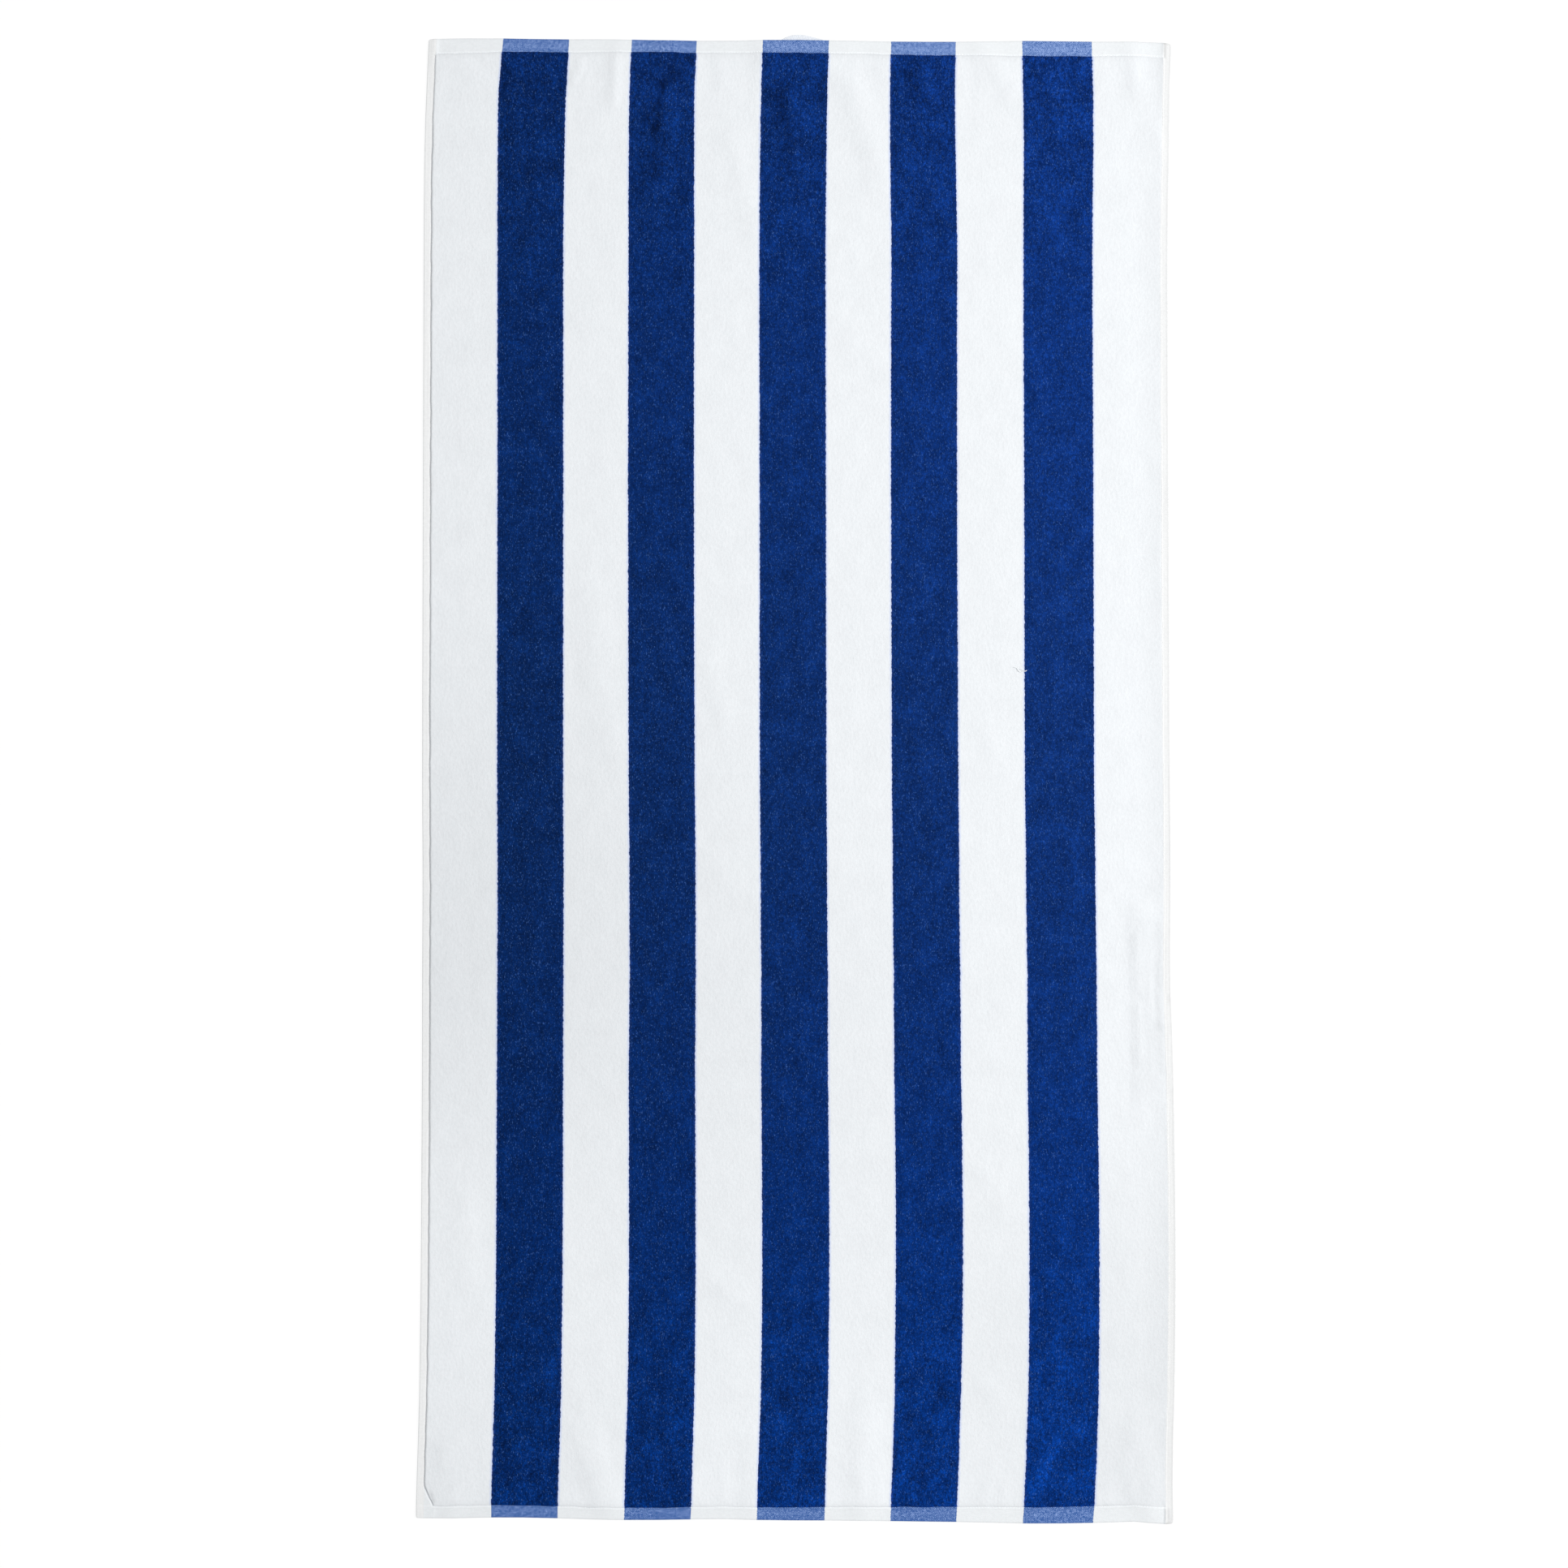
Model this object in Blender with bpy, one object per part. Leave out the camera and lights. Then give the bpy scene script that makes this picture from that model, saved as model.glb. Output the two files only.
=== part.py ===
"""A striped beach towel laid out flat, face up, with a hanging loop of tape at one end.

The towel is one cloth. Its middle is pile, and its four edges are hems of flat weave,
thinner than the pile, that are turned under and stitched. It lies on a surface, and here
and there it rises from it in soft low folds.

Frame: metres, +Z up. +Y runs along the towel, towards the end with the loop, and +X runs
across it. The origin is on the surface, under the middle of the towel.
The tables and sizes below are in millimetres.
"""

from collections import namedtuple
import math

import bmesh
import bpy
from mathutils import Vector

MM = 0.001

# ---------------------------------------------------------------- driving sizes

PILE_THICKNESS = 2.8        # velour face, ground weave and looped back together
HEM_THICKNESS = 1.8         # three layers of flat weave
SIDE_HEM = 7.8              # width of the narrow hems along the two long sides
EDGE_ROUND = 0.8            # how far the turned edge is rounded
PILE_STEP = 1.2             # width over which the hem rises to the pile

# The stripes' edges, as shares of the width between the left and the right edge.
BLUE_STRIPES = (
    (0.1000, 0.1873),
    (0.2762, 0.3633),
    (0.4517, 0.5403),
    (0.6284, 0.7173),
    (0.8058, 0.8980),
)

# The tape of the hanging loop lies flat, and the top hem rises over it.
TAPE_WIDTH = 8.0
TAPE_THICKNESS = 0.9
TAPE_CLEARANCE = 0.35
TAPE_EDGE_ROUND = 0.25
TAPE_STEPS_PER_POINT = 8    # cross-sections from one point of its route to the next
TAPE_ROUTE = (              # the middle of the tape, from one sewn end to the other
    (-18.0, 739.3),
    (-13.0, 746.6),
    (-4.0, 751.0),
    (6.5, 751.5),
    (17.5, 749.2),
    (29.0, 745.6),
    (37.0, 739.3),
)
TAPE_COVER_MARGIN = 9.0     # how far past the tape the hem stays at its full rise
TAPE_COVER_FADE = 20.0      # and how far beyond that it comes down again

# The long edges, at stations along the towel.
Side = namedtuple("Side", "along left right")
SIDES = (
    Side(752.0, -372.6, 381.6),
    Side(692.0, -375.1, 379.4),
    Side(642.0, -376.8, 379.0),
    Side(543.0, -377.6, 377.6),
    Side(296.0, -378.4, 378.4),
    Side(0.0, -379.2, 380.0),
    Side(-99.0, -378.7, 380.9),
    Side(-198.0, -379.2, 380.1),
    Side(-245.0, -379.3, 381.9),
    Side(-296.0, -379.4, 383.3),
    Side(-395.0, -379.9, 385.0),
    Side(-500.0, -380.6, 385.8),
    Side(-593.0, -381.7, 385.0),
    Side(-642.0, -382.6, 384.2),
    Side(-692.0, -384.2, 382.7),
    Side(-756.0, -386.0, 383.4),
)

# The two short edges and the depth of their hems, at stations across the towel.
End = namedtuple("End", "across top bottom top_hem bottom_hem")
ENDS = (
    End(-380.0, 751.0, -750.2, 13.6, 13.9),
    End(-346.0, 751.9, -750.3, 13.8, 13.4),
    End(-297.0, 751.9, -749.4, 13.9, 13.2),
    End(-247.0, 751.0, -750.2, 13.4, 13.4),
    End(-190.0, 751.0, -751.9, 13.6, 13.8),
    End(-124.0, 749.8, -751.9, 13.2, 14.2),
    End(-83.0, 749.4, -751.0, 13.0, 14.2),
    End(-25.0, 750.2, -752.3, 13.6, 15.2),
    End(57.0, 749.4, -752.7, 13.2, 16.0),
    End(115.0, 748.6, -753.5, 13.6, 16.8),
    End(181.0, 748.6, -754.3, 14.2, 17.8),
    End(230.0, 749.4, -755.6, 15.0, 19.0),
    End(296.0, 748.6, -755.2, 14.8, 19.2),
    End(345.0, 748.6, -753.7, 14.8, 19.0),
    End(370.0, 747.7, -756.0, 14.6, 19.4),
    End(384.0, 745.5, -756.0, 14.4, 19.6),
)

# The folds: soft ridges, each with the two ends of its crest, how far its foot lies from
# the crest, and its height. Most start where a hem gathers the cloth.
Fold = namedtuple("Fold", "x1 y1 x2 y2 foot height")
FOLDS = (
    # under the top hem, from left to right
    Fold(-345.0, 733.0, -315.0, 700.0, 12.0, 0.8),
    Fold(-179.9, 741.0, -184.1, 683.0, 13.0, 1.3),
    Fold(-127.2, 741.0, -138.8, 613.0, 20.0, 1.6),
    Fold(-66.3, 650.0, -39.9, 556.0, 15.0, 1.0),
    Fold(-9.5, 700.0, -4.5, 620.0, 16.0, 1.0),
    Fold(52.3, 708.0, 87.7, 608.0, 18.0, 1.6),
    Fold(118.2, 735.0, 145.3, 663.0, 16.0, 1.2),
    Fold(187.3, 741.0, 234.3, 675.0, 16.0, 1.1),
    Fold(341.0, 742.0, 349.0, 683.0, 14.0, 1.6),
    Fold(349.0, 683.0, 365.0, 640.0, 14.0, 1.2),
    # across the open middle
    Fold(37.5, 475.0, 92.6, 410.0, 13.0, 0.9),
    Fold(-345.0, 238.0, -307.0, 258.0, 12.0, 0.8),
    Fold(-209.0, 198.0, -191.0, 31.0, 24.0, 1.0),
    Fold(-91.0, 137.0, -71.0, 51.0, 15.0, 0.9),
    Fold(194.0, 56.0, 212.0, 1.0, 14.0, 0.9),
    Fold(-93.5, -76.0, -42.4, -121.0, 14.0, 0.8),
    Fold(-229.0, -237.0, -174.0, -262.0, 12.0, 0.8),
    Fold(189.0, -398.0, 213.7, -439.0, 14.0, 0.9),
    Fold(-336.4, -429.0, -334.7, -505.0, 19.0, 1.0),
    Fold(-98.4, -500.0, -42.4, -540.0, 15.0, 0.9),
    # the two ripples beside the right hem
    Fold(351.2, -132.0, 355.3, -220.0, 15.0, 2.1),
    Fold(356.0, -228.0, 360.3, -317.0, 15.0, 2.1),
    # above the bottom hem, from left to right
    Fold(-345.4, -683.0, -350.0, -742.0, 14.0, 1.1),
    Fold(-221.0, -661.0, -191.5, -738.0, 18.0, 1.7),
    Fold(-41.6, -675.0, -44.9, -742.0, 14.0, 1.1),
    Fold(68.8, -638.0, 67.1, -742.0, 20.0, 1.6),
    Fold(189.0, -611.0, 213.7, -646.0, 14.0, 0.9),
    Fold(240.0, -742.0, 249.0, -668.0, 14.0, 1.0),
    Fold(345.5, -659.0, 361.0, -744.0, 20.0, 1.9),
)
LEAST_LIFT = 0.02           # below this the cloth touches the surface

# The mesh: coarse where the cloth lies flat, and finer along the folds.
COLUMNS_PER_STRIPE = 2
ROWS_BETWEEN_HEMS = 36
FINE_EDGE = 12.0            # along a fold, edges longer than this are halved
FINE_PASSES = 2

# Colours and surface, linear
WHITE_COTTON = (0.84, 0.87, 0.91)
BLUE_COTTON = (0.006, 0.028, 0.17)
WHITE_TAPE = (0.80, 0.84, 0.90)
COTTON_ROUGHNESS = 0.95
TAPE_ROUGHNESS = 0.85


# ---------------------------------------------------------------- curves from the tables

def hermite(start, end, slope_in, slope_out, share):
    """The smooth curve between two values, at a share of the way between them."""
    rise = end - start
    bend = 3.0 * rise - 2.0 * slope_in - slope_out
    twist = slope_in + slope_out - 2.0 * rise
    return start + share * (slope_in + share * (bend + share * twist))


def along_table(table, position, column):
    """The value of a column where the table's first column has the given position."""
    rows = table if table[0][0] < table[-1][0] else table[::-1]
    position = min(max(position, rows[0][0]), rows[-1][0])
    last = len(rows) - 1
    index = 0
    while index < last - 1 and rows[index + 1][0] < position:
        index += 1
    before, start, end, after = (
        rows[min(max(index + step, 0), last)] for step in (-1, 0, 1, 2)
    )
    span = end[0] - start[0]
    value = {row: getattr(row, column) for row in (before, start, end, after)}
    slope_in = span * (value[end] - value[before]) / (end[0] - before[0])
    slope_out = span * (value[after] - value[start]) / (after[0] - start[0])
    share = (position - start[0]) / span
    return hermite(value[start], value[end], slope_in, slope_out, share)


def bell(distance, foot):
    """1 on a crest, falling smoothly to 0 at its foot."""
    if distance >= foot:
        return 0.0
    return (1.0 - (distance / foot) ** 2) ** 2


def distance_to_segment(x, y, x1, y1, x2, y2):
    run = Vector((x2 - x1, y2 - y1))
    point = Vector((x - x1, y - y1))
    share = min(max(point.dot(run) / run.length_squared, 0.0), 1.0)
    return (point - run * share).length


# ---------------------------------------------------------------- how the cloth lies

def tape_cover():
    """The lowest and highest corner of the stretch where the hem lies on the tape."""
    reach = TAPE_WIDTH / 2 + TAPE_COVER_MARGIN
    across = [point[0] for point in TAPE_ROUTE]
    along = [point[1] for point in TAPE_ROUTE]
    return min(across) - reach, min(along) - reach, max(across) + reach, max(along) + reach


def tape_lift(x, y):
    """How much the cloth rises to pass over the loop's tape."""
    left, low, right, high = tape_cover()
    outside = math.hypot(max(left - x, x - right, 0.0), max(low - y, y - high, 0.0))
    return (TAPE_THICKNESS + TAPE_CLEARANCE) * bell(outside, TAPE_COVER_FADE)


def lift(x, y):
    """The height of the cloth's underside over the surface."""
    height = tape_lift(x, y)
    for fold in FOLDS:
        distance = distance_to_segment(x, y, *fold[:4])
        height = max(height, fold.height * bell(distance, fold.foot))
    return height if height > LEAST_LIFT else 0.0


def near_a_rise(x, y, margin):
    """Whether a place is on a fold, or where the hem comes up over the tape."""
    if lift(x, y) > 0.0:
        return True
    return any(
        distance_to_segment(x, y, *fold[:4]) < fold.foot + margin for fold in FOLDS
    )


# ---------------------------------------------------------------- the cloth

GridLine = namedtuple("GridLine", "share hems offset pile")


def hem_lines(share, sign, hem_size):
    """The three lines at one edge: the rounded edge, and both sides of the pile's step.

    A line is a share of the way across, plus a number of hem widths, plus an offset."""
    half_step = PILE_STEP / 2
    return [
        GridLine(share, 0.0, sign * EDGE_ROUND, False),
        GridLine(share, sign * hem_size, -sign * half_step, False),
        GridLine(share, sign * hem_size, sign * half_step, True),
    ]


def column_lines():
    """The grid's lines along the towel, with each stripe's edge on a line."""
    edges = [0.0] + [edge for stripe in BLUE_STRIPES for edge in stripe] + [1.0]
    shares = []
    for start, end in zip(edges, edges[1:]):
        for step in range(COLUMNS_PER_STRIPE):
            shares.append(start + (end - start) * step / COLUMNS_PER_STRIPE)
    middle = [GridLine(share, 0.0, 0.0, True) for share in shares[1:]]
    return hem_lines(0.0, 1.0, 1.0) + middle + hem_lines(1.0, -1.0, 1.0)[::-1]


def row_lines():
    """The grid's lines across the towel, from its bottom end to its top end."""
    middle = [
        GridLine(step / ROWS_BETWEEN_HEMS, 0.0, 0.0, True)
        for step in range(1, ROWS_BETWEEN_HEMS)
    ]
    return hem_lines(0.0, 1.0, 1.0) + middle + hem_lines(1.0, -1.0, 1.0)[::-1]


def grid_place(column, row):
    """Where a grid column and a grid row cross."""
    y = (row.share - 0.5) * (SIDES[0].along - SIDES[-1].along)
    for _ in range(2):
        left = along_table(SIDES, y, "left")
        right = along_table(SIDES, y, "right")
        x = left + column.share * (right - left)
        x += column.hems * SIDE_HEM + column.offset
        top = along_table(ENDS, x, "top")
        bottom = along_table(ENDS, x, "bottom")
        hem = along_table(ENDS, x, "top_hem" if row.hems < 0.0 else "bottom_hem")
        y = bottom + row.share * (top - bottom) + row.hems * hem + row.offset
    return x, y


def in_a_stripe(share):
    return any(start < share < end for start, end in BLUE_STRIPES)


def flat_cloth():
    """The face of the cloth, seen from above. Each vertex keeps the thickness as its Z."""
    sheet = bmesh.new()
    columns = column_lines()
    grid = []
    for row in row_lines():
        grid_row = []
        for column in columns:
            x, y = grid_place(column, row)
            thick = PILE_THICKNESS if column.pile and row.pile else HEM_THICKNESS
            grid_row.append(sheet.verts.new((x, y, thick)))
        grid.append(grid_row)
    for low, high in zip(grid, grid[1:]):
        for index in range(len(columns) - 1):
            face = sheet.faces.new(
                (low[index], low[index + 1], high[index + 1], high[index])
            )
            middle = (columns[index].share + columns[index + 1].share) / 2
            face.material_index = 1 if in_a_stripe(middle) else 0
    return sheet


def refine_folds(sheet):
    """Halve the long edges along the folds, so that each ridge has a rounded section."""
    for _ in range(FINE_PASSES):
        chosen = []
        for edge in sheet.edges:
            start, end = (vertex.co for vertex in edge.verts)
            length = (end - start).length
            spots = [start.lerp(end, share) for share in (0.0, 0.25, 0.5, 0.75, 1.0)]
            if length > FINE_EDGE and any(near_a_rise(p.x, p.y, 2.0) for p in spots):
                chosen.append(edge)
        bmesh.ops.subdivide_edges(sheet, edges=chosen, cuts=1, use_grid_fill=True)
    bmesh.ops.triangulate(sheet, faces=sheet.faces[:])


def outward(loop_start):
    """The level direction out of the sheet at the start of a boundary loop's edge."""
    vertex = loop_start.vert
    total = Vector((0.0, 0.0))
    for edge in vertex.link_edges:
        if edge.is_boundary:
            loop = edge.link_loops[0]
            run = loop.link_loop_next.vert.co - loop.vert.co
            total += Vector((run.y, -run.x)).normalized()
    return total.normalized()


def closed_cloth(sheet):
    """The cloth as one closed body: its face, its underside and a rounded edge."""
    body = bmesh.new()
    upper = {}
    lower = {}
    for vertex in sheet.verts:
        x, y, thick = vertex.co
        height = lift(x, y)
        upper[vertex] = body.verts.new((x, y, height + thick))
        lower[vertex] = body.verts.new((x, y, height))
    for face in sheet.faces:
        corners = list(face.verts)
        top = body.faces.new([upper[vertex] for vertex in corners])
        bottom = body.faces.new([lower[vertex] for vertex in reversed(corners)])
        top.material_index = face.material_index
        bottom.material_index = face.material_index

    boundary = [edge.link_loops[0] for edge in sheet.edges if edge.is_boundary]
    rim = {}
    for loop in boundary:
        vertex = loop.vert
        shift = outward(loop) * EDGE_ROUND
        middle = lift(vertex.co.x, vertex.co.y) + HEM_THICKNESS / 2
        rim[vertex] = body.verts.new((vertex.co.x + shift.x, vertex.co.y + shift.y, middle))
    for loop in boundary:
        start = loop.vert
        end = loop.link_loop_next.vert
        upper_face = body.faces.new((upper[end], upper[start], rim[start], rim[end]))
        lower_face = body.faces.new((lower[start], lower[end], rim[end], rim[start]))
        upper_face.material_index = loop.face.material_index
        lower_face.material_index = loop.face.material_index
    bmesh.ops.triangulate(body, faces=[face for face in body.faces if len(face.verts) > 3])
    return body


# ---------------------------------------------------------------- the hanging loop

def tape_middle():
    """Points along the middle of the tape, with the level direction to its outer side."""
    points = []
    last = len(TAPE_ROUTE) - 1
    for index in range(last):
        before, start, end, after = (
            Vector(TAPE_ROUTE[min(max(index + step, 0), last)]) for step in (-1, 0, 1, 2)
        )
        slope_in = (end - before) / 2
        slope_out = (after - start) / 2
        for step in range(TAPE_STEPS_PER_POINT):
            share = step / TAPE_STEPS_PER_POINT
            points.append(hermite(start, end, slope_in, slope_out, share))
    points.append(Vector(TAPE_ROUTE[-1]))
    sides = []
    for index in range(len(points)):
        run = points[min(index + 1, len(points) - 1)] - points[max(index - 1, 0)]
        sides.append(Vector((-run.y, run.x)).normalized())
    return list(zip(points, sides))


def tape_body():
    """A flat ribbon that lies on the surface, with slightly rounded edges."""
    half = TAPE_WIDTH / 2
    section = (
        (-half, TAPE_THICKNESS / 2),
        (-half + TAPE_EDGE_ROUND, 0.0),
        (half - TAPE_EDGE_ROUND, 0.0),
        (half, TAPE_THICKNESS / 2),
        (half - TAPE_EDGE_ROUND, TAPE_THICKNESS),
        (-half + TAPE_EDGE_ROUND, TAPE_THICKNESS),
    )
    body = bmesh.new()
    rings = []
    for point, side in tape_middle():
        ring = []
        for out, height in section:
            place = point + side * out
            ring.append(body.verts.new((place.x, place.y, height)))
        rings.append(ring)
    count = len(section)
    for ring, following in zip(rings, rings[1:]):
        for index in range(count):
            after = (index + 1) % count
            body.faces.new((ring[index], following[index], following[after], ring[after]))
    body.faces.new(rings[0])
    body.faces.new(rings[-1][::-1])
    bmesh.ops.triangulate(body, faces=body.faces[:])
    bmesh.ops.recalc_face_normals(body, faces=body.faces[:])
    return body


# ---------------------------------------------------------------- objects and materials

def cotton_material(name, colour, roughness):
    material = bpy.data.materials.new(name)
    material.use_nodes = True
    shader = material.node_tree.nodes["Principled BSDF"]
    shader.inputs["Base Color"].default_value = (*colour, 1.0)
    shader.inputs["Roughness"].default_value = roughness
    shader.inputs["Metallic"].default_value = 0.0
    return material


def add_object(name, body, materials):
    """Turn a mesh in millimetres into an object in metres."""
    bmesh.ops.scale(body, vec=(MM, MM, MM), verts=body.verts[:])
    mesh = bpy.data.meshes.new(name)
    body.to_mesh(mesh)
    body.free()
    for material in materials:
        mesh.materials.append(material)
    mesh.shade_smooth()
    mesh.set_sharp_from_angle(angle=math.radians(35.0))
    item = bpy.data.objects.new(name, mesh)
    bpy.context.scene.collection.objects.link(item)
    return item


def clear_scene():
    for item in list(bpy.data.objects):
        bpy.data.objects.remove(item, do_unlink=True)


def build_towel():
    white = cotton_material("white_cotton", WHITE_COTTON, COTTON_ROUGHNESS)
    blue = cotton_material("blue_cotton", BLUE_COTTON, COTTON_ROUGHNESS)
    tape = cotton_material("white_tape", WHITE_TAPE, TAPE_ROUGHNESS)
    sheet = flat_cloth()
    refine_folds(sheet)
    add_object("towel_cloth", closed_cloth(sheet), [white, blue])
    sheet.free()
    add_object("hanging_loop", tape_body(), [tape])


clear_scene()
build_towel()
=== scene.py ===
"""Looks of a striped beach towel laid out flat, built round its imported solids.

The frame's own axes are used: +X across the towel, +Y along it, +Z up. Sizes are written in
millimetres, and MM turns them into metres where a mesh, a material or the camera takes them.
"""

import math
import random

import bmesh
import bpy
import numpy as np
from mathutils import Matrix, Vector, noise
from mathutils.bvhtree import BVHTree


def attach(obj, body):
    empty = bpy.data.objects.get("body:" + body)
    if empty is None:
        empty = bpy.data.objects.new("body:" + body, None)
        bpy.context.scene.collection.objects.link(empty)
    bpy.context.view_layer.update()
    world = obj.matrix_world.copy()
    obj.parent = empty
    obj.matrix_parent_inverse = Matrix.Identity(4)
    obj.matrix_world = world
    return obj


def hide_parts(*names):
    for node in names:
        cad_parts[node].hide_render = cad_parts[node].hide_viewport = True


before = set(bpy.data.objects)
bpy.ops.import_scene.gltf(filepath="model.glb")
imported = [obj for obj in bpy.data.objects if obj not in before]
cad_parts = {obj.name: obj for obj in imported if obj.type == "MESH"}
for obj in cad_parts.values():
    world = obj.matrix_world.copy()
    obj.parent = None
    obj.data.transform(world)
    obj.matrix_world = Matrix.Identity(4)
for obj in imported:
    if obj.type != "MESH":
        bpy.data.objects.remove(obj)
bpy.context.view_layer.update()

MM = 0.001

# ---- driving sizes, mm

# near the cloth's size; the outline itself comes from the frame
WIDTH = 760.0
LENGTH = 1500.0
PILE_THICKNESS = 2.8
HEM_THICKNESS = 1.8
RIM_HEIGHT = 0.5 * HEM_THICKNESS
SIDE_HEM = 7.8
EDGE_ROUND = 0.5
CORNER_ROUND = 2.4

# (across, depth): how deep the end hems are, at stations across the towel
TOP_HEM = (
    (-380, 16.0), (-330, 15.5), (-313, 14.7), (-295, 13.4), (-243, 13.2), (-222, 13.6), (-184, 12.9),
    (-124, 12.3), (0, 13.1), (57, 13.2), (181, 14.3), (230, 15.4), (384, 14.9),
)
BOTTOM_HEM = (
    (-380, 12.6), (-247, 12.6), (-124, 12.5), (-25, 13.2), (115, 14.7), (230, 16.5),
    (300, 17.0), (346, 17.2), (384, 17.1),
)
# (along, growth of the left hem): the pile's bottom left corner is cut off aslant, and the hem fills it
CUT_CORNER = ((-736, 9.2), (-724, 3.2), (-717, 0.0))

# blue stripes as shares of the width, from the left edge
BLUE_STRIPES = (
    (0.0996, 0.1877), (0.2755, 0.3638), (0.4515, 0.5404), (0.6284, 0.7173), (0.8056, 0.8983),
)
# (along, drift of each stripe to the right)
STRIPE_DRIFT = (
    (-752, (-0.3, -0.8, -1.0, -2.3, -3.2)),
    (-738, (-0.3, -0.2, -0.5, -1.6, -2.0)),
    (-692, (-0.2, 0.2, 0.1, 0.0, 0.1)),
    (-620, (0.0, 0.4, 0.6, 0.3, 0.7)),
    (-445, (0.1, 0.0, 0.4, 0.5, 0.2)),
    (-296, (0.1, -0.3, -0.1, 0.0, 0.1)),
    (-198, (0.8, 1.5, 1.4, 1.4, 2.4)),
    (-115, (0.5, 0.8, 0.1, -0.2, 0.6)),
    (0, (0.6, 0.5, 0.0, -0.3, 0.0)),
    (296, (0.4, -0.3, 0.1, -0.7, 0.5)),
    (543, (-0.2, -0.1, -0.3, 0.0, 0.2)),
    (642, (-0.3, -1.1, -0.5, -2.8, -0.3)),
    (692, (-0.9, -2.0, -0.8, -4.3, -1.4)),
    (750, (0.8, -1.9, -1.1, -5.2, -4.6)),
)
# (along, what each stripe gains on both sides)
STRIPE_SPREAD = (
    (-750, (0.0, 0.0, 0.4, -0.5, 0.2)),
    (-640, (0.1, 0.1, 0.0, -0.6, 0.3)),
    (-560, (0.0, 0.0, 0.0, 0.0, 0.0)),
    (540, (0.1, 0.0, 0.0, -0.1, 0.0)),
    (640, (0.6, -0.1, 0.1, -0.4, 0.2)),
    (700, (1.1, -0.3, 0.0, -0.6, 0.5)),
    (750, (0.5, -0.1, 0.2, -0.4, 0.5)),
)
HEM_STRIPE_LOSS = 0.2

# (x1, y1, x2, y2, foot, height): creases finer than the solid's own; below 0 only the pile is pressed
CREASES = (
    (-219, 727, -226, 711, 7, 0.8), (-183, 732, -184, 684, 7, 0.6), (-327, 734, -316, 731, 4, 0.5),
    (-371, -726, -368, -733.5, 2.4, -0.6), (-104, 732, -130, 706, 9, 0.6), (-130, 706, -136, 660, 9, 0.7),
    (-136, 660, -136, 612, 9, 0.5), (-8, 702, -2, 640, 8, 0.55), (116, 722, 138, 686, 8, 0.55),
    (332, -688, 344, -734, 12, 0.5), (262, -671, 240, -726, 8, 0.9), (106, -676, 106, -716, 8, 0.5),
    (-247, -588, -252, -638, 8, 0.5), (-300, -662, -300, -672, 9, -0.45), (-13, -622, -13, -634, 9, -0.45),
    (-30, -706, 24, -706, 5, 0.3), (146, -612, 146, -624, 9, -0.5), (344, -134, 345, -170, 11, 0.25),
    (344.8, -160, 346, -212, 8, 0.75), (345.5, -230, 347.5, -280, 8, 0.8), (347, -280, 349, -322, 11, 0.35),
    (348.5, -306, 352, -346, 12, 0.45), (373.5, -150, 374.5, -216, 10, 0.75),
    (383, -150, 383, -216, 11, 0.75), (373.5, -226, 376, -312, 10, 0.85), (384, -226, 385, -312, 11, 0.85),
    (-366.5, 748, -367.5, 727, 6, 0.6), (373.5, 748, 373.5, 736, 9, 0.5), (374, 746, 374, 732, 2.2, -0.5),
    (373.6, -741, 373.6, -753, 2, -0.45), (377.5, -741, 377.5, -753, 2, -0.45),
    (-35, 737, -38, 684, 8, 0.45), (-42, 651, -42, 646, 6, -0.4), (-25, 611, -25, 606, 6, -0.4),
    (174, 492, 174, 487, 6, -0.4), (-312, -130, -312, -134, 6, -0.4), (222, -159, 222, -164, 6, -0.4),
    (-224, 119, -224, 114, 6, -0.4), (124, 556, 159, 520, 8, 0.4), (164, 544, 230, 544, 6, -0.35),
    (164, 477, 230, 477, 6, -0.35), (32, 61, 94, 61, 6, -0.35), (-98, -289, -40, -292, 7, -0.5),
    (169, -302, 234, -302, 6, -0.35), (-358, -680, -358, -712, 9, 0.5), (149, -438, 149, -490, 8, -0.6),
    (83, -690, 84, -736, 8, 0.5), (-228, -612, -205, -660, 12, 0.4), (-205, -660, -184, -730, 12, 0.4),
)

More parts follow.
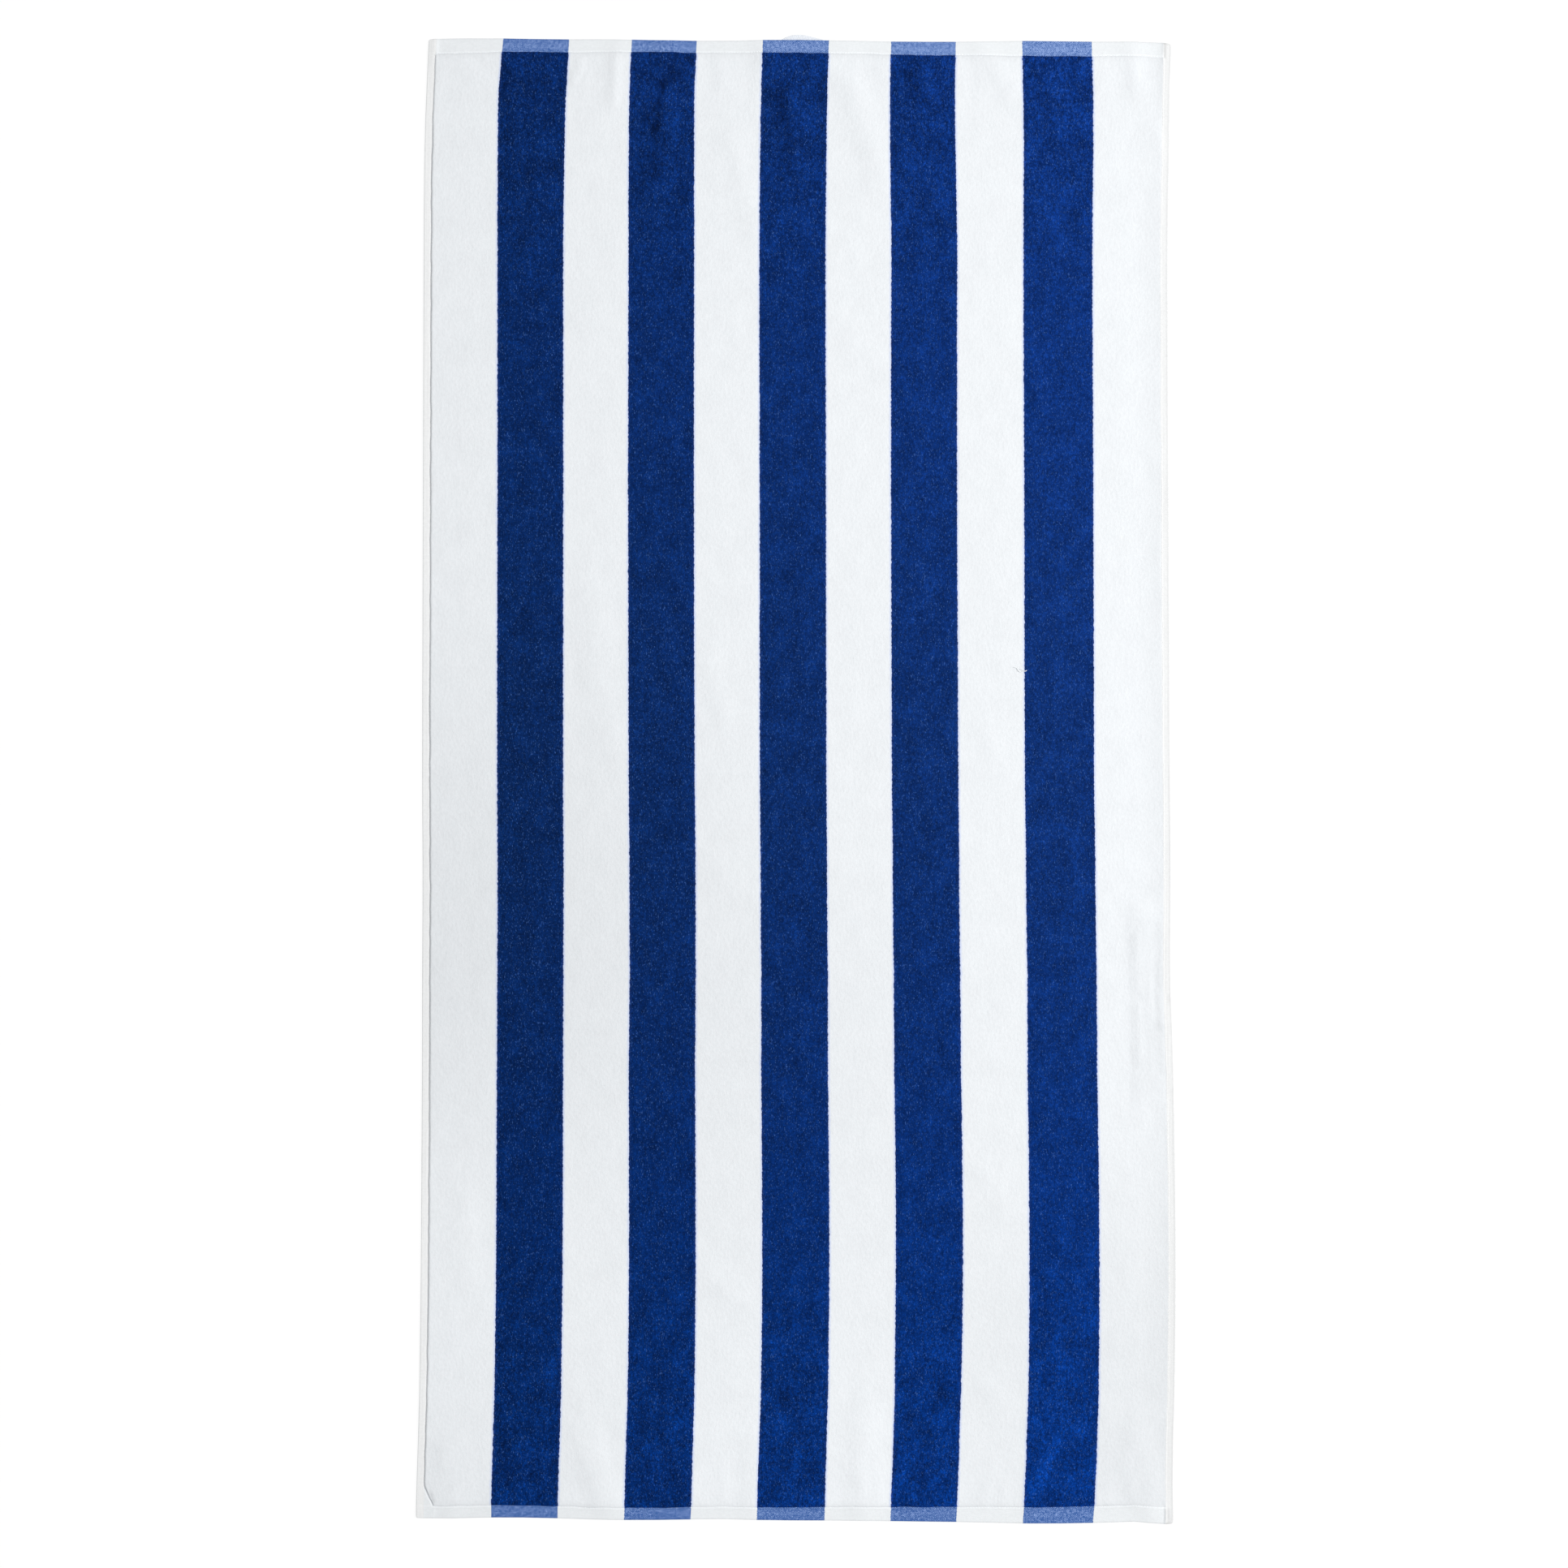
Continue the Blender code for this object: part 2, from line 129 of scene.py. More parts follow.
# (x1, y1, x2, y2, foot, change): painted shade and painted highlight along the creases and at the hem
# corners, darker or lighter on the blue
CREASE_PAINTED_SHADE = (
    (266, -671, 242, -724, 9, 0.5), (110, -680, 110, -714, 8, 0.25), (-246, -590, -251, -636, 6, 0.25),
    (-300, -662, -300, -672, 10, -0.25), (-13, -622, -13, -634, 9, -0.25), (146, -612, 146, -626, 8, -0.25),
    (132, -562, 150, -568, 5, 0.22), (140, -580, 158, -590, 5, 0.22), (-28, -706.6, 22, -706.6, 4, 0.15),
    (-106, 729, -136, 704, 7, -0.3), (-136, 704, -142, 659, 7, -0.32), (-142, 659, -142, 612, 9, -0.22),
    (-122, 700, -126, 610, 10, 0.12), (-141, 562, -135, 577, 5, 0.25), (-14, 700, -8, 641, 8, -0.28),
    (110, 719, 133, 687, 6, -0.32), (122, 676, 142, 636, 10, 0.12), (-187.8, 732, -187.8, 682, 5, -0.3),
    (-179, 731, -180, 684, 4, 0.15), (-222, 732, -228, 706, 7, -0.38), (-326, 734, -316, 730, 4, -0.35),
    (-40, 732, -37, 699, 5, -0.25), (50.6, 703, 83.6, 619, 6, -0.1), (331.5, 724, 353, 669.5, 8, -0.12),
    (-371, -724, -368, -733, 3.5, -1.0), (37.5, -687, 67, -716, 6, -0.25),
    (315, -695, 340, -729, 10, -0.2), (342.5, -146, 343, -180, 7, -0.1),
    (342.5, -160, 343.5, -208, 6, -0.15), (343.5, -232, 344.5, -290, 6, -0.15),
    (344.5, -260, 347, -330, 8, -0.1), (368, -150, 368.5, -180, 7, -0.2),
    (366.8, -186, 367.4, -213, 5.5, -0.6), (366.5, -222, 369.2, -252, 5.5, -0.6),
    (369.2, -252, 371.8, -296, 6, -0.55), (355, -146, 361, -312, 12, -0.35),
    (362.8, -202, 363.2, -243, 3.5, 0.35), (377.8, -219, 378.6, -227, 2, -0.8),
    (-363.5, -714, -362, -734, 4, -0.2), (-352, -716, -346, -735, 5, -0.25),
    (-357, -710, -355, -728, 4, 0.15), (372, -744, 373, -754, 5, -0.35), (377, -742, 378.5, -753, 3, -0.6),
    (372.5, 745, 372.5, 738, 3, -0.45), (374.4, 746, 374.4, 733, 1.6, -1.2),
)
# share of the painted crease shade that the white takes, also that of the hems
PAINTED_SHADE_ON_WHITE = 0.1

# puckers beside the end hems: least and most of each size; the lean is a share of the reach
PUCKER_SPAN = 368.0
PUCKER_REACH = (18.0, 60.0)
PUCKER_LEAN = (-0.18, 0.18)
PUCKER_HEIGHT = (-0.32, 0.32)
PUCKER_FOOT = (5.6, 11.2)
PUCKER_GAP = (8.0, 22.4)

# ---- the cloth's outline


def rim_loop(node):
    """The outline seen from above, in order: the edges where the node's upper and lower faces meet."""
    mesh = bmesh.new()
    mesh.from_mesh(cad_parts[node].data)
    bmesh.ops.remove_doubles(mesh, verts=mesh.verts, dist=1e-6)
    mesh.normal_update()
    neighbours = {}
    for edge in mesh.edges:
        if len({face.normal.z > 0.0 for face in edge.link_faces}) == 2:
            for vert in edge.verts:
                neighbours.setdefault(vert, []).append(edge.other_vert(vert))
    start = vert = next(iter(neighbours))
    previous = None
    points = []
    while vert is not start or not points:
        points.append((vert.co.x, vert.co.y))
        previous, vert = vert, next(other for other in neighbours[vert] if other is not previous)
    mesh.free()
    return np.array(points) / MM


def outline_sides(points):
    """The outline cut at its corners: top, right, bottom and left, each rising in x or in y."""

    def corner(x_sign, y_sign):
        return int(np.argmax(points @ np.array((x_sign, y_sign))))

    points = np.roll(points, -corner(-1, 1), axis=0)
    if corner(1, 1) > corner(-1, -1):
        points = np.roll(points[::-1], 1, axis=0)
    cuts = (0, corner(1, 1), corner(1, -1), corner(-1, -1), len(points))
    closed = np.vstack([points, points[:1]])
    top, right, bottom, left = (closed[a : b + 1] for a, b in zip(cuts, cuts[1:]))
    return top, right[::-1], bottom[::-1], left


def edge_line(side, along):
    """A side's other coordinate as a function of its x (along is 0) or of its y (along is 1)."""
    return lambda value: np.interp(value, side[:, along], side[:, 1 - along])


TOP, RIGHT, BOTTOM, LEFT = outline_sides(rim_loop("towel_cloth"))
left_edge, right_edge = edge_line(LEFT, 1), edge_line(RIGHT, 1)
bottom_edge, top_edge = edge_line(BOTTOM, 0), edge_line(TOP, 0)

WANDER_GAIN = 1.6
HEM_WANDER = 0.35
HEM_WANDER_SIZE = 13.0


def unit(values):
    return np.clip(values, 0, 1)


def wander(x, y, size, seed):
    """Smooth seeded noise from about -1 to 1, whose bumps are about size across."""
    flat = zip(np.ravel(x) / size, np.ravel(y) / size)
    values = [noise.noise(Vector((a, b, seed))) for a, b in flat]
    return np.reshape(values, np.shape(x)) * WANDER_GAIN


def hem_wander(x, y, seed):
    """How far the tufts push a hem's line to and fro."""
    return HEM_WANDER * wander(x, y, HEM_WANDER_SIZE, seed)


def left_hem(y):
    return SIDE_HEM + np.interp(y, *zip(*CUT_CORNER)) + hem_wander(0 * y, y, seed=11.5)


def right_hem(y):
    return SIDE_HEM + hem_wander(0 * y, y, seed=23.5)


def bottom_hem(x):
    return np.interp(x, *zip(*BOTTOM_HEM)) + hem_wander(x, 0 * x, seed=31.5)


def top_hem(x):
    return np.interp(x, *zip(*TOP_HEM)) + hem_wander(x, 0 * x, seed=47.5)


def across_share(x, y):
    """Share of the width at a point, moved by drift and spread so that the stripes keep constant shares."""
    start, end = left_edge(y), right_edge(y)
    share = (x - start) / (end - start)
    marks = (0.0, *np.ravel(BLUE_STRIPES), 1.0)
    moves = [0 * share]
    for drift, spread in zip(stripe_columns(y, STRIPE_DRIFT), stripe_columns(y, STRIPE_SPREAD)):
        moves += [drift - spread, drift + spread]
    moves.append(0 * share)
    move = 0 * share
    for low, high, low_move, high_move in zip(marks, marks[1:], moves, moves[1:]):
        blend = (share - low) / (high - low)
        inside = (blend >= 0) & (blend <= 1)
        move = np.where(inside, low_move * (1 - blend) + high_move * blend, move)
    return share - move / (end - start)


def stripe_columns(y, rows):
    """Each stripe's value at y from rows of (along, five values)."""
    along, values = zip(*rows)
    return [np.interp(y, along, column) for column in zip(*values)]


# ---- the cloth's grid

# mm in from the edge, and mm into the pile from its border; the last hem line is the border itself
SIDE_HEM_LINES = (0.0, 0.08, 0.25, 0.5, 0.9, 1.8, 3.2, 4.6, 5.6, 6.2, 6.7, 7.2, 7.5, 7.8)
SIDE_PILE_LINES = (0.15, 0.45, 0.95, 1.6, 2.6, 4.2, 7.0)
# shares of the end hem's depth, and mm into the pile
END_HEM_LINES = (0.0, 0.008, 0.03, 0.065, 0.13, 0.26, 0.42, 0.58, 0.72, 0.81, 0.865, 0.91, 0.945, 0.975, 1.0)
END_PILE_LINES = (0.2, 0.6, 1.2, 2.0, 3.2, 5.0, 7.6)
GRID_STEP = 4.3
BACK_SKIP = 3
PILE_WIDTH = 743.0
PILE_LENGTH = 1474.0
PILE_EDGE = -0.1
LIFT_SMOOTHING = 2
GRID_ROUNDS = 6


def grid_lines(hem_shares, pile_insets, pile_length):
    """Places of the lines over hem, pile and hem, each 1 long, and the numbers of the back's lines."""
    first = [*hem_shares, *(1 + inset / pile_length for inset in pile_insets)]
    steps = BACK_SKIP * round((pile_length - pile_insets[-1]) / GRID_STEP / BACK_SKIP)
    gap = (3 - 2 * first[-1]) / steps
    places = first + [first[-1] + gap * k for k in range(1, steps)]
    places += [3 - place for place in reversed(first)]
    border, last = len(first), len(places)
    back = [k for k in range(last) if k < border or k >= last - border or (k - border + 1) % BACK_SKIP == 0]
    return np.array(places), back


def place_on_lines(place, low, high, first_hem, last_hem):
    """Coordinate of a grid line between two edges with their hems."""
    spans = (first_hem, (high - last_hem) - (low + first_hem), last_hem)
    return sum((unit(place - k) * span for k, span in enumerate(spans)), start=low)


def grid_points(columns, rows):
    """x and y of every crossing."""
    place_x, place_y = np.meshgrid(columns, rows, indexing="ij")
    x = (place_x / 3 - 0.5) * WIDTH
    y = (place_y / 3 - 0.5) * LENGTH
    for _ in range(GRID_ROUNDS):
        low, high = left_edge(y), right_edge(y)
        x = place_on_lines(place_x, low, high, left_hem(y), right_hem(y))
        low, high = bottom_edge(x), top_edge(x)
        y = place_on_lines(place_y, low, high, bottom_hem(x), top_hem(x))
    return x, y


def round_corners(x, y, inset_x, inset_y):
    """Turns the four corners from square to round, with everything near them."""
    arm_x, arm_y = CORNER_ROUND - inset_x, CORNER_ROUND - inset_y
    shrink = 1 - np.maximum(arm_x, arm_y) / np.maximum(np.hypot(arm_x, arm_y), 1e-9)
    shrink = np.where((arm_x > 0) & (arm_y > 0), shrink, 0.0)
    return x - np.sign(x) * arm_x * shrink, y - np.sign(y) * arm_y * shrink


# ---- heights, mm

# (mm in from the outer edge, height): the left hem is rolled, the right one rises softly to the pile
LEFT_HEM_PROFILE = ((0.5, 2.06), (1.0, 2.12), (2.4, 1.97), (4.0, 1.86), (5.4, 1.75), (6.4, 1.65), (7.8, 1.6))
RIGHT_HEM_PROFILE = ((0.5, 2.22), (1.0, 2.28), (4.0, 2.28), (5.4, 2.29), (6.4, 2.31), (7.8, 2.36))
# towards the top the left hem lies flatter: height there, y where that begins and is full, its share
LEFT_HEM_TOP = (1.85, 630.0, 700.0, 0.6)
# a groove is given as (depth, half width)
LEFT_GROOVE = (0.85, 0.85)
RIGHT_GROOVE = (0.04, 0.8)
# share of a groove left on the end hems, and how far inside them it has faded to that
GROOVE_ON_END = 0.25
GROOVE_FADE = 1.6
LEFT_SHOULDER = 1.7
RIGHT_SHOULDER = 45.0
# low ridge of an end hem's turned edge: height, distance from the pile, half width
END_RIDGE = (0.22, 1.3, 0.9)
END_SHOULDER = 6.0
# how far the flat end hem still holds the pile down beside a side hem
END_REACH = 25.0
# where a side hem crosses an end hem it is this much thicker, and so is the end hem over the reach
CORNER_EXTRA = 0.35
CORNER_REACH = 3.0
# there the side hem keeps a share of its form, from the start inside the pile, turning over the width
CROSSING_SHARE = 0.6
CROSSING_START = 0.4
CROSSING_WIDTH = 1.2
# width over which a side hem's height turns into the pile's foot: at the end hem, growth a mm, how long
BLEND_WIDTH = (1.5, 0.5, 20.0)
# how far outside the pile's border a groove is deepest
GROOVE_PLACE = 0.15
BACK_HEM_GAP = 0.35
# share of the swells left on the hems, and how far in from the edge all relief is full
HEM_SWELL = 0.25
RELIEF_FADE = 3.0

SWELLS = ((70.0, 0.22, 3.5), (24.0, 0.12, 9.5), (9.0, 0.07, 17.5))


def hump(offset, half_width):
    """1 at offset 0, falling smoothly to 0."""
    return np.exp(-((offset / half_width) ** 2))


def shoulder(inset, width):
    """0 at the pile's border and 1 from width inwards, rising steeply first."""
    share = unit(inset / width)
    return np.sqrt(1 - (1 - share) ** 2)


def side_shoulder(x, inset):
    """The pile's rise from a side border: steep on the left, slow and soft on the right."""
    slow = unit(inset / RIGHT_SHOULDER)
    return np.where(x > 0, slow**2 * (3 - 2 * slow), shoulder(inset, LEFT_SHOULDER))


def bell(distance, foot):
    share = unit(distance / foot)
    return (1 - share**2) ** 2


def distance_to_segment(x, y, x1, y1, x2, y2):
    run, rise = x2 - x1, y2 - y1
    share = unit(((x - x1) * run + (y - y1) * rise) / (run**2 + rise**2))
    return np.hypot(x - x1 - share * run, y - y1 - share * rise)


def pucker_list():
    """Short pulls of the stitching beside the end hems, as rows like those of CREASES."""
    draw = random.Random(5)
    rows = ()
    for edge, hem, sign in ((bottom_edge, BOTTOM_HEM, 1), (top_edge, TOP_HEM, -1)):
        x = -PUCKER_SPAN
        while x < PUCKER_SPAN:
            start = float(edge(x) + sign * np.interp(x, *zip(*hem)))
            reach = draw.uniform(*PUCKER_REACH)
            lean = draw.uniform(*PUCKER_LEAN) * reach
            height = draw.uniform(*PUCKER_HEIGHT)
            foot = draw.uniform(*PUCKER_FOOT)
            rows += ((x, start, x + lean, start + sign * reach, foot, height),)
            x += draw.uniform(*PUCKER_GAP)
    return rows


PUCKERS = pucker_list()


def crease_height(x, y, rows, kinds):
    """Sum of the rows of the given kinds: True for those that lift, False for those that press."""
    total = np.zeros_like(x)
    for x1, y1, x2, y2, foot, height in rows:
        if (height > 0) in kinds:
            near_x = abs(2 * x - x1 - x2) < abs(x2 - x1) + 2 * foot
            near_y = abs(2 * y - y1 - y2) < abs(y2 - y1) + 2 * foot
            near = near_x & near_y
            distance = distance_to_segment(x[near], y[near], x1, y1, x2, y2)
            total[near] += height * bell(distance, foot)
    return total


def mesh_tree(data):
    """A mesh as a tree for ray casts."""
    mesh = bmesh.new()
    mesh.from_mesh(data)
    tree = BVHTree.FromBMesh(mesh)
    mesh.free()
    return tree


CLOTH_TREE = mesh_tree(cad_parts["towel_cloth"].data)
RAY_INSET = 1.6
RAY_START = 20.0


def height_at(tree, x, y, back):
    """Height of the tree's upper surface, or of its underside, at points in mm."""
    start, way = (-RAY_START, 1) if back else (RAY_START, -1)
    heights = []
    for a, b in zip(np.ravel(x), np.ravel(y)):
        hit = tree.ray_cast(Vector((a, b, start)) * MM, Vector((0, 0, way)))[0]
        heights.append(hit.z / MM if hit else 0.0)
    return np.reshape(heights, np.shape(x))


def solid_lift(x, y):
    """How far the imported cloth's underside is off the ground at each point."""
    inside_x = np.clip(x, left_edge(y) + RAY_INSET, right_edge(y) - RAY_INSET)
    inside_y = np.clip(y, bottom_edge(x) + RAY_INSET, top_edge(x) - RAY_INSET)
    return np.maximum(height_at(CLOTH_TREE, inside_x, inside_y, True), 0.0)


def smoothed(values, rounds):
    """The grid's values averaged with their neighbours, 1-2-1 both ways."""
    for _ in range(rounds):
        for axis in (0, 1):
            rolled = np.moveaxis(values, axis, 0).copy()
            rolled[1:-1] = 0.25 * rolled[:-2] + 0.5 * rolled[1:-1] + 0.25 * rolled[2:]
            values = np.moveaxis(rolled, 0, axis)
    return values


def insets(x, y):
    """Distances in from the side edge and from the end edge, and into the pile from both borders."""
    from_left, from_right = x - left_edge(y), right_edge(y) - x
    from_bottom, from_top = y - bottom_edge(x), top_edge(x) - y
    side = np.minimum(from_left, from_right)
    end = np.minimum(from_bottom, from_top)
    into_side = np.minimum(from_left - left_hem(y), from_right - right_hem(y))
    into_end = np.minimum(from_bottom - bottom_hem(x), from_top - top_hem(x))
    return side, end, into_side, into_end


def rounded(height, side, end):
    """A height that runs to the rim's height at the cloth's edge."""
    return RIM_HEIGHT + (height - RIM_HEIGHT) * shoulder(np.minimum(side, end), EDGE_ROUND)


def face_height(x, y):
    """Top surface over the cloth's underside, and how loose the pile is: 0 on the hems, 1 well inside."""
    side, end, into_side, into_end = insets(x, y)
    on_left, on_right = (np.interp(side, *zip(*rows)) for rows in (LEFT_HEM_PROFILE, RIGHT_HEM_PROFILE))
    flat_height, flat_start, flat_full, flat_share = LEFT_HEM_TOP
    flatter = flat_share * unit((y - flat_start) / (flat_full - flat_start))
    on_left = on_left * (1 - flatter) + flat_height * flatter
    hem = np.where(x > 0, on_right, on_left)
    crossing = unit((CROSSING_START - into_end) / CROSSING_WIDTH)
    crossed = HEM_THICKNESS + (hem - HEM_THICKNESS) * CROSSING_SHARE + CORNER_EXTRA
    hem = hem * (1 - crossing) + crossed * crossing
    extra = CORNER_EXTRA * unit(1 - into_side / CORNER_REACH) * unit(-into_end)
    narrowest, growth, most = BLEND_WIDTH
    beside = unit(into_side / (narrowest + growth * np.clip(into_end, 0, most)))
    beside *= unit(1 - into_end / END_REACH)
    hem = hem * (1 - beside) + (HEM_THICKNESS + extra) * beside
    ridge_height, ridge_place, ridge_width = END_RIDGE
    hem += ridge_height * hump(into_end + ridge_place, ridge_width) * beside
    groove_depth, groove_width = (np.where(x > 0, *pair) for pair in zip(RIGHT_GROOVE, LEFT_GROOVE))
    least = np.where((x < 0) & (y < 0), 0.0, GROOVE_ON_END)
    quiet = (least + (1 - least) * unit(into_end / GROOVE_FADE)) * (1 - flatter)
    hem -= groove_depth * hump(into_side + GROOVE_PLACE, groove_width) * quiet
    pile = side_shoulder(x, into_side) * shoulder(into_end, END_SHOULDER)
    height = hem * (1 - pile) + PILE_THICKNESS * pile
    return rounded(height, side, end), shoulder(np.minimum(into_side, into_end), END_SHOULDER)


def back_height(x, y):
    """Underside over the ground, where the cloth lies flat."""
    side, end, into_side, into_end = insets(x, y)
    pile = shoulder(into_side, LEFT_SHOULDER) * shoulder(into_end, END_SHOULDER)
    return rounded(BACK_HEM_GAP * (1 - pile), side, end)


def face_relief(x, y, loose):
    """Swells of the pile and presses in it."""
    relief = np.zeros_like(x)
    for size, height, seed in SWELLS:
        relief += height * wander(x, y, size, seed)
    relief *= HEM_SWELL + (1 - HEM_SWELL) * loose
    return relief + crease_height(x, y, CREASES, [False]) + crease_height(x, y, PUCKERS, [False]) * loose


def crease_lift(x, y):
    """Height of the ridges that are finer than the solid's own."""
    return crease_height(x, y, CREASES + PUCKERS, [True])


# ---- pieces

# what the baked map covers, and the length that the stripes' map covers
BAKE_SIZE = (790.0, 1530.0)
MAP_LENGTH = 1520.0


def new_object(name, data):
    obj = bpy.data.objects.new(name, data)
    bpy.context.scene.collection.objects.link(obj)
    return obj


def bake_place(x, y, back):
    """Place in the square for a baked map: the face in its left half, the back in its right half."""
    return 0.5 * (x / BAKE_SIZE[0] + 0.5 + back), y / BAKE_SIZE[1] + 0.5


def new_piece(name, points, faces, materials, slots=0, back=False):
    """A mesh piece from points in mm, smooth, with the stripes' map and the baked map's places."""
    points = np.asarray(points)
    mesh = bpy.data.meshes.new(name)
    mesh.from_pydata((points * MM).tolist(), [], faces)
    for material in materials:
        mesh.materials.append(material)
    count = len(mesh.polygons)
    mesh.polygons.foreach_set("use_smooth", np.ones(count, bool))
    mesh.polygons.foreach_set("material_index", np.zeros(count, np.int32) + slots)
    corner_points = np.zeros(len(mesh.loops), np.int32)
    mesh.loops.foreach_get("vertex_index", corner_points)
    totals = np.zeros(count, np.int32)
    mesh.polygons.foreach_get("loop_total", totals)
    x, y = points[corner_points, 0], points[corner_points, 1]
    add_uv(mesh, "cloth", across_share(x, y), y / MAP_LENGTH + 0.5)
    add_uv(mesh, "OFBake", *bake_place(x, y, np.repeat(np.zeros(count, bool) | back, totals)))
    add_point_numbers(mesh, points)
    mesh.validate()
    return new_object(name, mesh)


def add_uv(mesh, name, u, v):
    layer = mesh.uv_layers.new(name=name)
    layer.data.foreach_set("uv", np.column_stack((u, v)).ravel())


def add_point_numbers(mesh, points):
    """Each point's mm into the pile and mm in from the cloth's edges, and its painted crease shade, for the
    materials.
    """
    x, y = points[:, 0], points[:, 1]
    side, end, into_side, into_end = insets(x, y)
    numbers = {
        "into_pile": np.minimum(into_side, into_end),
        "from_edge": np.minimum(side, end),
        "from_side": side,
        # painted shade and highlight of the creases and hem corners
        "painted_crease_shade": crease_height(x, y, CREASE_PAINTED_SHADE, [True, False]),
    }
    for name, values in numbers.items():
        mesh.attributes.new(name, "FLOAT", "POINT").data.foreach_set("value", values)


def towel_grid():
    """The face's crossings with the heights of face and back, and the lines that the back uses."""
    columns, back_columns = grid_lines(np.array(SIDE_HEM_LINES) / SIDE_HEM, SIDE_PILE_LINES, PILE_WIDTH)
    rows, back_rows = grid_lines(END_HEM_LINES, END_PILE_LINES, PILE_LENGTH)
    x, y = grid_points(columns, rows)
    lift = smoothed(solid_lift(x, y), LIFT_SMOOTHING) + crease_lift(x, y)
    side, end = insets(x, y)[:2]
    top, loose = face_height(x, y)
    top += face_relief(x, y, loose) * unit(np.minimum(side, end) / RELIEF_FADE)
    under = back_height(x, y)
    x, y = round_corners(x, y, side, end)
    return x, y, lift + top, lift + under, back_columns, back_rows


def back_faces(face_at, back_at, columns, rows):
    """The back's faces. Its border is the face's rim, so the rim's skipped points go into them too."""
    last_column, last_row = len(columns) - 2, len(rows) - 2
    faces = []
    for i, (column, next_column) in enumerate(zip(columns, columns[1:])):
        for j, (row, next_row) in enumerate(zip(rows, rows[1:])):
            left = face_at[0, row + 1 : next_row] if i == 0 else []
            right = face_at[-1, row + 1 : next_row] if i == last_column else []
            bottom = face_at[column + 1 : next_column, 0] if j == 0 else []
            top = face_at[column + 1 : next_column, -1] if j == last_row else []
            loop = [back_at[i, j], *left, back_at[i, j + 1], *top]
            loop += [back_at[i + 1, j + 1], *right[::-1], back_at[i + 1, j], *bottom[::-1]]
            faces.append([int(index) for index in loop])
    return faces


def build_towel(materials):
    """The cloth as one closed mesh: the face with all the lines, the back with fewer."""
    x, y, top, under, columns, rows = towel_grid()
    points = np.stack((x, y, top), axis=-1).reshape(-1, 3)
    face_at = np.arange(x.size).reshape(x.shape)
    back_at = face_at[np.ix_(columns, rows)]
    inner = np.ix_(columns[1:-1], rows[1:-1])
    back_points = np.stack((x, y, under), axis=-1)[inner].reshape(-1, 3)
    back_at[1:-1, 1:-1] = len(points) + np.arange(len(back_points)).reshape(x[inner].shape)
    points = np.vstack((points, back_points))
    corners = (face_at[:-1, :-1], face_at[1:, :-1], face_at[1:, 1:], face_at[:-1, 1:])
    faces = np.stack(corners, axis=-1).reshape(-1, 4).tolist()
    on_back = [False] * len(faces)
    faces += back_faces(face_at, back_at, columns, rows)
    on_back += [True] * (len(faces) - len(on_back))
    slots = cloth_slots(points, faces, on_back)
    return new_piece("towel", points, faces, materials, slots, on_back)


def cloth_slots(points, faces, on_back):
    """Material of each face: 0 the pile of the face, 1 the pile of the back, 2 the hems' flat weave."""
    x, y, _ = np.transpose([points[face].mean(axis=0) for face in faces])
    pile = np.minimum(*insets(x, y)[2:]) > PILE_EDGE
    return np.where(pile, np.where(on_back, 1, 0), 2)


# ---- small repeated forms


def ball_template(segments, rings):
    """A closed unit ball as points and faces, its poles on Z."""
    mesh = bmesh.new()
    bmesh.ops.create_uvsphere(mesh, u_segments=segments, v_segments=rings, radius=1.0)
    mesh.verts.index_update()
    points = np.array([(vert.co.y, -vert.co.x, vert.co.z) for vert in mesh.verts])
    faces = [[vert.index for vert in face.verts] for face in mesh.faces]
    mesh.free()
    return points, faces


def scatter(name, template, places, material):
    """A piece of copies of a template at places: (position, turn about Z, sizes, on the back)."""
    shape, shape_faces = template
    points, faces, on_back = [], [], []
    for position, turn, sizes, back in places:
        local = shape * sizes * (1.0, 1.0, -1.0 if back else 1.0)
        cosine, sine = math.cos(turn), math.sin(turn)
        x = local[:, 0] * cosine - local[:, 1] * sine
        y = local[:, 0] * sine + local[:, 1] * cosine
        start = len(points) * len(shape)
        points.append(np.column_stack((x, y, local[:, 2])) + position)
        order = -1 if back else 1
        faces += [[start + index for index in face[::order]] for face in shape_faces]
        on_back += [back] * len(shape_faces)
    return new_piece(name, np.vstack(points), faces, [material], back=on_back)


# the side lines stop this far from the ends, and the end lines run between these two x
LINE_INSET = 14.0
LINE_SPAN = (-366.0, 373.0)


def border_lines(offset):
    """Lines beside the pile's border, offset mm out of the pile: left, right, bottom, top."""
    y = np.arange(bottom_edge(0.0) + LINE_INSET, top_edge(0.0) - LINE_INSET, 1.0)
    x = np.arange(*LINE_SPAN, 1.0)
    return (
        np.column_stack((left_edge(y) + left_hem(y) - offset, y)),
        np.column_stack((right_edge(y) - right_hem(y) + offset, y)),
        np.column_stack((x, bottom_edge(x) + bottom_hem(x) - offset)),
        np.column_stack((x, top_edge(x) - top_hem(x) + offset)),
    )


def walk(line, pitch, jitter, draw):
    """Points at about every pitch along a line: x, y and the line's direction there."""
    steps = np.hypot(*np.diff(line, axis=0).T)
    along = np.concatenate(([0.0], np.cumsum(steps)))
    stops = [0.5 * pitch]
    while stops[-1] < along[-1]:
        stops.append(stops[-1] + pitch * (1 + draw.uniform(-jitter, jitter)))
    places = np.array(stops[:-1])[:, None] + (-1, 0, 1)
    (x0, x, x1), (y0, y, y1) = (np.interp(places, along, values).T for values in line.T)
    return x, y, np.arctan2(y1 - y0, x1 - x0)


TUFT_PITCH = 3.7
TUFT_SIZES = (1.85, 1.25, 0.45)
TUFT_SCALE = (0.88, 1.14)
TUFT_JITTER = 0.14
TUFT_SHIFT = 0.2
TUFT_INSET = 0.75
TUFT_HEIGHT = 0.41
STITCH_PITCH = 2.9
STITCH_JITTER = 0.03
STITCH_TURN = 0.06
SIDE_STITCH_SIZES = (1.4, 0.24, 0.14)
END_STITCH_SIZES = (1.3, 0.28, 0.18)
STITCH_OUT = 0.8
